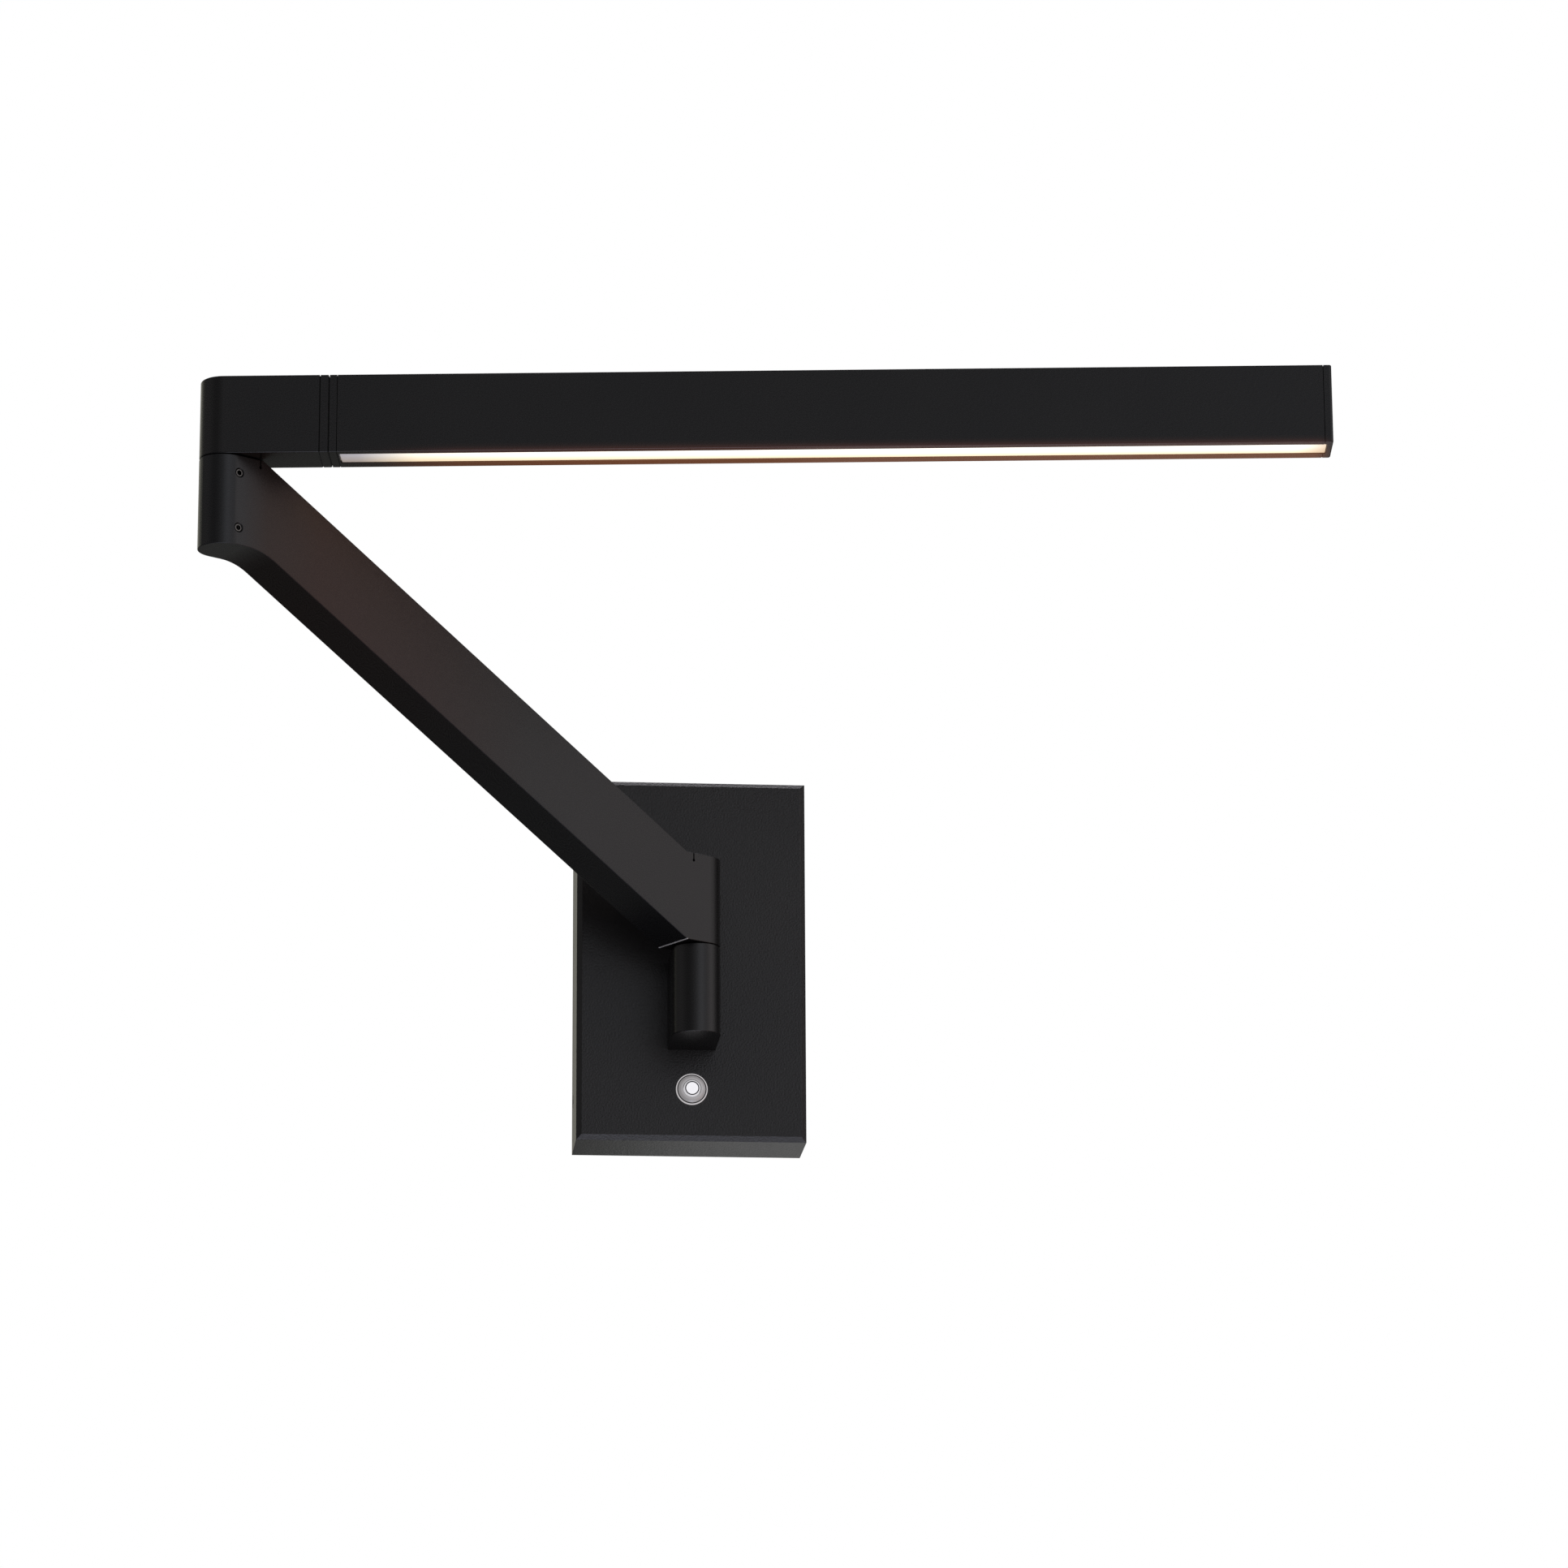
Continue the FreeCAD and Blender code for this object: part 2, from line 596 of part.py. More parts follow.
def arm_blank():
    """Solid arm with half-round ends and the rounded bend under its upper knuckle."""
    near = KNUCKLE_FLAT
    far = ARM_LENGTH - KNUCKLE_FLAT
    start = -END_R
    end = ARM_LENGTH + END_R
    tangent = KNUCKLE_FILLET * math.tan(SLOPE / 2)
    bend_low = V(far - tangent * math.cos(SLOPE), 0, UPPER_KNUCKLE_BOTTOM - tangent * math.sin(SLOPE))
    bend_high = V(far + tangent, 0, UPPER_KNUCKLE_BOTTOM)
    centre = V(far + tangent, 0, UPPER_KNUCKLE_BOTTOM - KNUCKLE_FILLET)
    half_turn = SLOPE / 2
    bend_mid = centre + V(-KNUCKLE_FILLET * math.sin(half_turn), 0, KNUCKLE_FILLET * math.cos(half_turn))
    corners = [
        bend_high,
        V(end, 0, UPPER_KNUCKLE_BOTTOM),
        V(end, 0, UPPER_KNUCKLE_TOP),
        V(far, 0, UPPER_KNUCKLE_TOP),
        V(near, 0, LOWER_KNUCKLE_TOP),
        V(start, 0, LOWER_KNUCKLE_TOP),
        V(start, 0, LOWER_KNUCKLE_BOTTOM),
        V(near, 0, LOWER_KNUCKLE_BOTTOM),
        bend_low,
    ]
    edges = [Part.makeLine(a, b) for a, b in zip(corners, corners[1:])]
    edges.append(Part.Arc(bend_low, bend_mid, bend_high).toShape())
    face = Part.Face(Part.Wire(edges))
    side = face.extrude(V(0, BODY_WIDTH, 0))
    side.translate(V(0, -END_R, 0))
    low = LOWER_KNUCKLE_BOTTOM - 1
    high = UPPER_KNUCKLE_TOP + 1
    plan = box(0, ARM_LENGTH, -END_R, END_R, low, high)
    for x in (0, ARM_LENGTH):
        plan = plan.fuse(rod(END_R, V(x, 0, low), V(x, 0, high)))
    blank = side.common(plan.removeSplitter())
    return blank.makeFillet(EDGE_R, outline_edges(blank))


def arm_prism(points, half_width):
    face = Part.Face(Part.makePolygon(points + [points[0]]))
    prism = face.extrude(V(0, 2 * half_width, 0))
    prism.translate(V(0, -half_width, 0))
    return prism


CAVITY_HALF = END_R - ARM_WALL
LID_HALF = CAVITY_HALF + LID_LEDGE
KNUCKLE_ROOM_R = 8.7
KNUCKLE_CAP_R = 9.4
KNUCKLE_CAP_THICKNESS = 2.5
LID_SCREW_SPOTS = (60.0, ARM_LENGTH - 60.0)
RIB_BACK = 3.0
RIB_AHEAD = 9.0
RIB_DEPTH = 18.0
LID_SCREW_R = 1.5
LID_SCREW_HEAD_R = 2.7
LID_SCREW_LENGTH = 7.0
SHAFT_BOTTOM = UPPER_KNUCKLE_BOTTOM + ARM_FLOOR
SET_SCREW_R = 2.1
SET_SCREW_OFFSET = 14.25
SET_SCREW_X = ARM_LENGTH - 1.2
SET_HOLE_R = 2.2
SET_FLARE_R = 2.6
SET_FLARE_DEPTH = 0.4
SET_SOCKET_R = 1.25
KNUCKLE_MIDDLE = (UPPER_KNUCKLE_BOTTOM + UPPER_KNUCKLE_TOP) / 2


def roof_height(x):
    """Height of the arm's sloping top edge."""
    return LOWER_KNUCKLE_TOP + (x - KNUCKLE_FLAT) * math.tan(SLOPE)


def lid_outline():
    """Side view of the lid: a short flat at each end, from slit to slit, joined by the slope."""
    near_x, near_top = slit_spots()[0]
    far_x, far_top = slit_spots()[1]
    near = near_x + SLIT_TUCK
    far = far_x + SLIT_WIDTH - SLIT_TUCK
    # the underside bends a little further up the slope than the top does
    shift = (LID_THICKNESS / math.cos(SLOPE) - LID_THICKNESS) / math.tan(SLOPE)
    bends = (KNUCKLE_FLAT, ARM_LENGTH - KNUCKLE_FLAT)
    return [
        V(near, 0, near_top - LID_THICKNESS),
        V(bends[0] + shift, 0, near_top - LID_THICKNESS),
        V(bends[1] + shift, 0, far_top - LID_THICKNESS),
        V(far, 0, far_top - LID_THICKNESS),
        V(far, 0, far_top),
        V(bends[1], 0, far_top),
        V(bends[0], 0, near_top),
        V(near, 0, near_top),
    ]


def slit_spots():
    """Both slits that cross the arm's top corners, as start of the slit along X and its top height."""
    return [
        (KNUCKLE_FLAT - LOWER_SLIT_INSET, LOWER_KNUCKLE_TOP),
        (ARM_LENGTH - KNUCKLE_FLAT + UPPER_SLIT_INSET - SLIT_WIDTH, UPPER_KNUCKLE_TOP),
    ]


def arm_casting():
    arm = arm_blank()
    # hollow of the sloping part, open upwards, with a rib under each lid screw
    channel = arm_prism(arm_outline(ARM_FLOOR, 30.0), CAVITY_HALF)
    for x in LID_SCREW_SPOTS:
        top = roof_height(x + RIB_AHEAD)
        rib = box(x - RIB_BACK, x + RIB_AHEAD, -CAVITY_HALF, CAVITY_HALF, top - RIB_DEPTH, top + 40)
        channel = channel.cut(rib)
    arm = arm.cut(channel)
    # rebate that the lid lies in
    underside = lid_outline()[:4]
    above = [p + V(0, 0, 30) for p in lid_outline()[4:]]
    arm = arm.cut(arm_prism(underside + above, LID_HALF + 0.1))
    # hollow lower knuckle, open into the slope, with a plug on top and a bore for the tube
    room = rod(KNUCKLE_ROOM_R, V(0, 0, KNUCKLE_FLOOR_TOP), V(0, 0, LOWER_KNUCKLE_TOP + 1))
    door = box(0, KNUCKLE_FLAT + 1, -6, 6, KNUCKLE_FLOOR_TOP, LOWER_KNUCKLE_TOP - 8)
    cap_low = LOWER_KNUCKLE_TOP - KNUCKLE_CAP_THICKNESS
    cap_seat = rod(KNUCKLE_CAP_R, V(0, 0, cap_low), V(0, 0, LOWER_KNUCKLE_TOP + 1))
    bore = rod(TUBE_R + RUNNING, V(0, 0, LOWER_KNUCKLE_BOTTOM - 1), V(0, 0, KNUCKLE_FLOOR_TOP + 1))
    arm = arm.cut(room.fuse(door).fuse(cap_seat).fuse(bore))
    # upper knuckle: bore for the shaft, recess for its washer, passage for the lead, two tapped holes
    shaft_bore = rod(SHAFT_R - PRESS, V(ARM_LENGTH, 0, SHAFT_BOTTOM), V(ARM_LENGTH, 0, UPPER_KNUCKLE_TOP + 1))
    recess = rod(
        WASHER_R + 0.1,
        V(ARM_LENGTH, 0, THRUST_BOTTOM_UPPER),
        V(ARM_LENGTH, 0, UPPER_KNUCKLE_TOP + 1),
    )
    passage = rod(
        SHAFT_BORE_R,
        V(ARM_LENGTH - KNUCKLE_FLAT - 3, 0, KNUCKLE_MIDDLE),
        V(ARM_LENGTH, 0, KNUCKLE_MIDDLE),
    )
    arm = arm.cut(shaft_bore.fuse(recess).fuse(passage))
    for z in set_screw_heights():
        hole = rod(SET_HOLE_R, V(SET_SCREW_X, 0, z), V(SET_SCREW_X, END_R + 1, z))
        flare = cone(SET_HOLE_R, SET_FLARE_R, V(SET_SCREW_X, END_R - SET_FLARE_DEPTH, z), V(SET_SCREW_X, END_R, z))
        arm = arm.cut(hole.fuse(flare))
    for x, top in slit_spots():
        middle = x + SLIT_WIDTH / 2
        bottom = top - SLIT_DEPTH
        slit = box(x, x + SLIT_WIDTH, -END_R - 1, END_R + 1, bottom, top + 1)
        relief = rod(SLIT_HOLE_R, V(middle, -END_R - 1, bottom), V(middle, END_R + 1, bottom))
        arm = arm.cut(slit.fuse(relief))
    for x in LID_SCREW_SPOTS:
        top = V(x, 0, roof_height(x))
        depth = LID_SCREW_LENGTH + 2
        arm = arm.cut(rod(LID_SCREW_R - PRESS, top + lid_normal() * 2, top - lid_normal() * depth))
    return along_arm(arm)


def arm_top_cover():
    lid = arm_prism(lid_outline(), LID_HALF)
    # each end drops a tongue into its slit
    for x, top in slit_spots():
        low = top - SLIT_DEPTH + SLIT_TUCK
        lid = lid.fuse(box(x + SLIT_TUCK, x + SLIT_WIDTH - SLIT_TUCK, -LID_HALF, LID_HALF, low, top))
    lid = lid.removeSplitter()
    for x in LID_SCREW_SPOTS:
        lid = lid.cut(lid_screw(x, 0.12))
    return along_arm(lid)


def lid_normal():
    return V(-math.sin(SLOPE), 0, math.cos(SLOPE))


def lid_screw(x, grow):
    """Countersunk lid screw, square to the slope; grow widens it into the hole it sits in."""
    top = V(x, 0, roof_height(x))
    inward = lid_normal() * -1
    head_r = LID_SCREW_HEAD_R + grow
    shank_r = LID_SCREW_R + grow
    head = cone(head_r, shank_r, top, top + inward * (head_r - shank_r))
    return head.fuse(rod(shank_r, top, top + inward * LID_SCREW_LENGTH))


def arm_cover_screws():
    screws = []
    for x in LID_SCREW_SPOTS:
        top = V(x, 0, roof_height(x))
        inward = lid_normal() * -1
        socket = rod(1.0, top - inward, top + inward * 0.9)
        screws.append(lid_screw(x, 0).cut(socket))
    return along_arm(group(screws))


def lower_knuckle_cap():
    low = LOWER_KNUCKLE_TOP - KNUCKLE_CAP_THICKNESS
    return along_arm(rod(KNUCKLE_CAP_R + PRESS, V(0, 0, low), V(0, 0, LOWER_KNUCKLE_TOP)))


def set_screw_heights():
    return (KNUCKLE_MIDDLE + SET_SCREW_OFFSET, KNUCKLE_MIDDLE - SET_SCREW_OFFSET)


def arm_set_screws():
    """Grub screws with six-sided sockets; the upper one's socket is deep, the lower one's shallow."""
    screws = []
    face = END_R - SET_FLARE_DEPTH
    for z, depth in zip(set_screw_heights(), (2.4, 0.9)):
        screw = rod(SET_SCREW_R, V(SET_SCREW_X, SHAFT_R - 0.1, z), V(SET_SCREW_X, face, z))
        rim = [e for e in screw.Edges if e.Closed and abs(e.Vertexes[0].Y - face) < 1e-6]
        screw = screw.makeChamfer(0.3, rim)
        mouth = V(SET_SCREW_X, face + 0.1, z)
        floor = V(SET_SCREW_X, face - depth, z)
        socket = hexagon(SET_SOCKET_R * 2, mouth, floor)
        tip = cone(SET_SOCKET_R, 0.1, floor, floor - V(0, SET_SOCKET_R, 0))
        screws.append(screw.cut(socket.fuse(tip)))
    return along_arm(group(screws))


# Stack on the upper pivot, from the washer in the knuckle up to the nut inside the hub
THRUST_TOP_UPPER = HEAD_BOTTOM - CLEAR
THRUST_BOTTOM_UPPER = THRUST_TOP_UPPER - WASHER_THICKNESS
HUB_FLOOR_TOP = HEAD_BOTTOM + HUB_FLOOR
FRICTION_BOTTOM_UPPER = HUB_FLOOR_TOP + CLEAR
FRICTION_TOP_UPPER = FRICTION_BOTTOM_UPPER + WASHER_THICKNESS
SHAFT_TOP = FRICTION_TOP_UPPER + NUT_HEIGHT + 2.0


def on_upper_pivot(low, high):
    return V(ARM_LENGTH, 0, low), V(ARM_LENGTH, 0, high)


def upper_pivot_shaft():
    shaft = ring(SHAFT_R, SHAFT_BORE_R, *on_upper_pivot(SHAFT_BOTTOM, SHAFT_TOP))
    # window facing the arm's hollow, for the lead
    window = rod(SHAFT_BORE_R - 0.3, V(ARM_LENGTH - 10, 0, KNUCKLE_MIDDLE), V(ARM_LENGTH, 0, KNUCKLE_MIDDLE))
    return along_arm(shaft.cut(window))


def upper_thrust_washer():
    return along_arm(ring(WASHER_R, SHAFT_R + PRESS, *on_upper_pivot(THRUST_BOTTOM_UPPER, THRUST_TOP_UPPER)))


def upper_friction_washer():
    return along_arm(ring(WASHER_R - 0.5, SHAFT_R + PRESS, *on_upper_pivot(FRICTION_BOTTOM_UPPER, FRICTION_TOP_UPPER)))


def upper_pivot_nut():
    top = FRICTION_TOP_UPPER + NUT_HEIGHT
    return along_arm(nut(SHAFT_NUT_FLATS, SHAFT_R - PRESS, *on_upper_pivot(FRICTION_TOP_UPPER, top)))


# ---- Head hub, drawn along +X from the upper pivot ----


def head_block(x0, x1):
    """Length of the head's full section, with softened long edges."""
    block = box(x0, x1, -END_R, END_R, HEAD_BOTTOM, HEAD_TOP)
    long_edges = [e for e in block.Edges if abs(e.Vertexes[0].X - e.Vertexes[-1].X) > 1e-6]
    return block.makeFillet(CASE_EDGE, long_edges)


def head_core(x0, x1):
    """Length of the head's section drawn in, which leaves a seam around it, deepest in front."""
    return box(
        x0, x1, -END_R + SEAM_DEPTH, END_R - SHALLOW_SEAM, HEAD_BOTTOM + SHALLOW_SEAM, HEAD_TOP - SHALLOW_SEAM
    )


COLLAR_SCREW_Y = 7.0
COLLAR_SCREW_R = 1.5
COLLAR_BOSS = 5.2


def collar_screw_spots():
    low = HEAD_BOTTOM + HUB_FLOOR + 2.2
    high = HEAD_TOP - HUB_WALL - 2.2
    return [(-COLLAR_SCREW_Y, low), (COLLAR_SCREW_Y, low), (-COLLAR_SCREW_Y, high), (COLLAR_SCREW_Y, high)]


def head_hub():
    hub = box(0, HUB_LENGTH, -END_R, END_R, HEAD_BOTTOM, HEAD_TOP)
    hub = hub.fuse(rod(END_R, V(0, 0, HEAD_BOTTOM), V(0, 0, HEAD_TOP))).removeSplitter()
    rims = []
    for edge in hub.Edges:
        heights = [v.Z for v in edge.Vertexes]
        ends = [v.X for v in edge.Vertexes]
        level = max(heights) - min(heights) < 1e-6
        at_mouth = min(ends) > HUB_LENGTH - 1e-6
        if level and not at_mouth:
            rims.append(edge)
    hub = hub.makeFillet(CASE_EDGE, rims)
    inner = END_R - HUB_WALL
    room = box(0, HUB_LENGTH + 1, -inner, inner, HUB_FLOOR_TOP, HEAD_TOP - HUB_WALL)
    room = room.fuse(rod(inner, V(0, 0, HUB_FLOOR_TOP), V(0, 0, HEAD_TOP - HUB_WALL)))
    # corner bosses that take the collar's screws
    for y, z in collar_screw_spots():
        room = room.cut(box(
            HUB_LENGTH - 12, HUB_LENGTH + 1,
            y - COLLAR_BOSS / 2, y + COLLAR_BOSS / 2,
            z - COLLAR_BOSS / 2, z + COLLAR_BOSS / 2,
        ))
    hub = hub.cut(room)
    hub = hub.cut(rod(SHAFT_R + RUNNING, V(0, 0, HEAD_BOTTOM - 1), V(0, 0, HUB_FLOOR_TOP + 1)))
    for y, z in collar_screw_spots():
        hub = hub.cut(rod(COLLAR_SCREW_R - PRESS, V(HUB_LENGTH - 9, y, z), V(HUB_LENGTH + 1, y, z)))
    return along_head(hub)


COLLAR_END = HUB_LENGTH + COLLAR_THICKNESS
PLATE_START = COLLAR_END + ROLL_GAP


def roll_collar():
    collar = head_block(HUB_LENGTH + SEAM, COLLAR_END - COLLAR_STEP).fuse(head_core(HUB_LENGTH, COLLAR_END))
    spigot_inner = END_R - HUB_WALL - 0.1
    spigot_low = HUB_FLOOR_TOP + 6
    spigot_high = HEAD_TOP - HUB_WALL - 6
    collar = collar.fuse(
        box(HUB_LENGTH - 3, HUB_LENGTH + 1, -spigot_inner, spigot_inner, spigot_low, spigot_high)
    )
    collar = collar.cut(rod(TUBE_R - PRESS, V(HUB_LENGTH - 5, 0, HEAD_MIDDLE), V(COLLAR_END + 1, 0, HEAD_MIDDLE)))
    for y, z in collar_screw_spots():
        hole = rod(COLLAR_SCREW_R + 0.15, V(HUB_LENGTH - 1, y, z), V(COLLAR_END + 1, y, z))
        sink = cone(3.0, 1.4, V(COLLAR_END + 0.1, y, z), V(COLLAR_END - 1.5, y, z))
        collar = collar.cut(hole.fuse(sink))
    return along_head(collar)


def collar_screws():
    screws = []
    for y, z in collar_screw_spots():
        top = V(COLLAR_END - 0.1, y, z)
        screws.append(flat_screw(2.8, COLLAR_SCREW_R, 11.5, top, V(-1, 0, 0)))
    return along_head(group(screws))


# Stack on the roll pivot, inside the bar
PLATE_END = PLATE_START + END_PLATE_THICKNESS
FRICTION_START = PLATE_END + CLEAR
FRICTION_END = FRICTION_START + WASHER_THICKNESS
ROLL_NUT_END = FRICTION_END + NUT_HEIGHT
ROLL_TUBE_END = ROLL_NUT_END + 2.5


def on_roll_pivot(start, end):
    return V(start, 0, HEAD_MIDDLE), V(end, 0, HEAD_MIDDLE)


def roll_pivot_tube():
    return along_head(ring(TUBE_R, TUBE_BORE_R, *on_roll_pivot(HUB_LENGTH - 6, ROLL_TUBE_END)))


def roll_friction_washer():
    return along_head(ring(WASHER_R - 1, TUBE_R + PRESS, *on_roll_pivot(FRICTION_START, FRICTION_END)))


def roll_pivot_nut():
    return along_head(nut(NUT_FLATS, TUBE_R - PRESS, *on_roll_pivot(FRICTION_END, ROLL_NUT_END)))


# ---- Light bar, drawn along +X from the upper pivot ----

PORT_Y = 7.0
PORT_Z = HEAD_TOP - 5.4
PORT_R = 3.0
BAR_SCREW_R = 1.5
CAP_END = BAR_END + END_CAP_THICKNESS
WINDOW_FRONT = -END_R + FRONT_LIP
WINDOW_REAR = END_R - REAR_LIP
GROOVE_HEIGHT = 2.0
TRAY_TOP = HEAD_BOTTOM + 19.0
TRAY_THICKNESS = 2.0
TRAY_GAP = 0.1


def port_spots():
    return [(-PORT_Y, PORT_Z), (PORT_Y, PORT_Z)]


def bar_housing():
    bar = head_block(BAR_START, BAR_END)
    inner = END_R - BAR_WALL
    room = box(BAR_START - 1, BAR_END + 1, -inner, inner, HEAD_BOTTOM + LIP_THICKNESS, HEAD_TOP - BAR_WALL)
    window = box(
        BAR_START + WINDOW_INSET, BAR_END + 1,
        WINDOW_FRONT, WINDOW_REAR,
        HEAD_BOTTOM - 1, HEAD_BOTTOM + LIP_THICKNESS + 1,
    )
    bar = bar.cut(room.fuse(window))
    # screw ports under the roof, and ledges that carry the heat sink
    for y, z in port_spots():
        port = rod(PORT_R, V(BAR_START, y, z), V(BAR_END, y, z))
        web = box(BAR_START, BAR_END, y - 1, y + 1, z, HEAD_TOP - BAR_WALL / 2)
        bar = bar.fuse(port).fuse(web)
    for side in (-1, 1):
        wall = side * (inner + 0.5)
        tip = side * (inner - 2.2)
        ledge = box(
            BAR_START, BAR_END, min(wall, tip), max(wall, tip),
            TRAY_TOP - TRAY_THICKNESS - 1.5, TRAY_TOP - TRAY_THICKNESS - TRAY_GAP,
        )
        bar = bar.fuse(ledge)
    bar = bar.removeSplitter()
    for y, z in port_spots():
        bar = bar.cut(rod(BAR_SCREW_R - PRESS, V(BAR_START - 1, y, z), V(BAR_END + 1, y, z)))
    return along_head(bar)


def inner_end_plate():
    plate = head_block(PLATE_START, PLATE_END - FINE_SEAM).fuse(head_core(PLATE_START + 1, PLATE_END))
    plate = plate.cut(rod(TUBE_R + RUNNING, *on_roll_pivot(PLATE_START - 1, PLATE_END + 1)))
    for y, z in port_spots():
        hole = rod(BAR_SCREW_R + 0.15, V(PLATE_START - 1, y, z), V(PLATE_END + 1, y, z))
        sink = cone(3.0, 1.4, V(PLATE_START - 0.1, y, z), V(PLATE_START + 1.5, y, z))
        plate = plate.cut(hole.fuse(sink))
    return along_head(plate)


def inner_plate_screws():
    screws = []
    for y, z in port_spots():
        screws.append(flat_screw(2.8, BAR_SCREW_R, 12.0, V(PLATE_START + 0.1, y, z), V(1, 0, 0)))
    return along_head(group(screws))


def end_cap_slab():
    """Visible slab of the end cap: upright outer edges rounded, then the outer rim softened all round."""
    start = BAR_END + FINE_SEAM
    slab = box(start, CAP_END, -END_R, END_R, HEAD_BOTTOM, HEAD_TOP)
    uprights = [e for e in slab.Edges if e.CenterOfMass.x > CAP_END - 1e-6 and e.BoundBox.ZLength > 1]
    slab = slab.makeFillet(END_CAP_CORNER_R, uprights)
    rims = [e for e in slab.Edges if e.BoundBox.ZLength < 1e-6 and e.CenterOfMass.x > start + 1e-6]
    return slab.makeFillet(CASE_EDGE, rims)


def outer_end_cap():
    cap = end_cap_slab().fuse(head_core(BAR_END, CAP_END - 1))
    inner = END_R - BAR_WALL - 0.1
    tongue = box(
        BAR_END - 4, BAR_END + 1, -inner, inner, HEAD_BOTTOM + LIP_THICKNESS + GROOVE_HEIGHT + 0.2, TRAY_TOP - 4
    )
    cap = cap.fuse(tongue).removeSplitter()
    # notch that the end of the lens reaches into
    cap = cap.cut(box(
        BAR_END - 1, BAR_END + LENS_OVERHANG + LENS_GAP,
        WINDOW_FRONT, WINDOW_REAR,
        HEAD_BOTTOM - 1, HEAD_BOTTOM + LIP_THICKNESS + GROOVE_HEIGHT + LENS_GAP,
    ))
    for y, z in port_spots():
        hole = rod(BAR_SCREW_R + 0.15, V(BAR_END - 1, y, z), V(CAP_END + 1, y, z))
        sink = cone(3.0, 1.4, V(CAP_END + 0.1, y, z), V(CAP_END - 1.5, y, z))
        cap = cap.cut(hole.fuse(sink))
    return along_head(cap)


def end_cap_screws():
    screws = []
    for y, z in port_spots():
        screws.append(flat_screw(2.8, BAR_SCREW_R, 12.0, V(CAP_END - 0.1, y, z), V(-1, 0, 0)))
    return along_head(group(screws))


TRAY_START = BAR_START + 22.0
TRAY_END = BAR_END - 6.0


def heat_sink():
    half = END_R - BAR_WALL - 0.3
    low = TRAY_TOP - TRAY_THICKNESS
    tray = box(TRAY_START, TRAY_END, -half, half, low, TRAY_TOP)
    for y in (-half, -4.0, 0.0, 4.0, half):
        fin_start = max(-half, y - 0.7)
        fin_end = min(half, y + 0.7)
        tray = tray.fuse(box(TRAY_START, TRAY_END, fin_start, fin_end, low, TRAY_TOP + 5))
    tray = tray.removeSplitter()
    for x in heat_sink_screw_spots():
        tray = tray.cut(rod(BAR_SCREW_R - PRESS, V(x, 2.0, low - 1), V(x, 2.0, TRAY_TOP + 1)))
    return along_head(tray)


def heat_sink_screw_spots():
    run = TRAY_END - TRAY_START
    return [TRAY_START + run * share for share in (0.02, 0.34, 0.66, 0.98)]


BOARD_THICKNESS = 1.6
BOARD_HALF = 6.0
BOARD_TOP = TRAY_TOP - TRAY_THICKNESS
BOARD_BOTTOM = BOARD_TOP - BOARD_THICKNESS


def heat_sink_screws():
    """Screws that hold the LED board up against the heat sink."""
    screws = []
    for x in heat_sink_screw_spots():
        screws.append(pan_screw(2.6, 1.4, BAR_SCREW_R, 3.4, V(x, 2.0, BOARD_BOTTOM), V(0, 0, 1)))
    return along_head(group(screws))


def led_board():
    board = box(TRAY_START, TRAY_END, -BOARD_HALF, BOARD_HALF, BOARD_BOTTOM, BOARD_TOP)
    for x in heat_sink_screw_spots():
        board = board.cut(rod(BAR_SCREW_R + 0.1, V(x, 2.0, BOARD_BOTTOM - 1), V(x, 2.0, BOARD_TOP + 1)))
    return along_head(board)


LED_LENGTH = 3.5
LED_WIDTH = 2.8
LED_HEIGHT = 0.8


def led_chips():
    chips = []
    count = int((TRAY_END - TRAY_START - 16) / LED_PITCH) + 1
    first = (TRAY_START + TRAY_END - (count - 1) * LED_PITCH) / 2
    for index in range(count):
        x = first + index * LED_PITCH
        y = -3.4
        chips.append(box(
            x - LED_LENGTH / 2, x + LED_LENGTH / 2,
            y - LED_WIDTH / 2, y + LED_WIDTH / 2,
            BOARD_BOTTOM - LED_HEIGHT, BOARD_BOTTOM,
        ))
    return along_head(group(chips))


def diffuser():
    """Lens that shows in the window, on a wider flange that lies on the housing's lips."""
    flange_end = BAR_END - 0.1
    face = HEAD_BOTTOM + LENS_RECESS
    flange_low = HEAD_BOTTOM + LIP_THICKNESS
    lens = box(
        BAR_START + WINDOW_INSET + LENS_END_GAP, BAR_END + LENS_OVERHANG,
        WINDOW_FRONT + LENS_GAP, WINDOW_REAR - LENS_GAP,
        face, flange_low + GROOVE_HEIGHT,
    )
    inner = END_R - BAR_WALL - LENS_GAP
    flange = box(BAR_START + 0.1, flange_end, -inner, WINDOW_REAR + 2.5, flange_low, flange_low + GROOVE_HEIGHT)
    return along_head(lens.fuse(flange).removeSplitter())


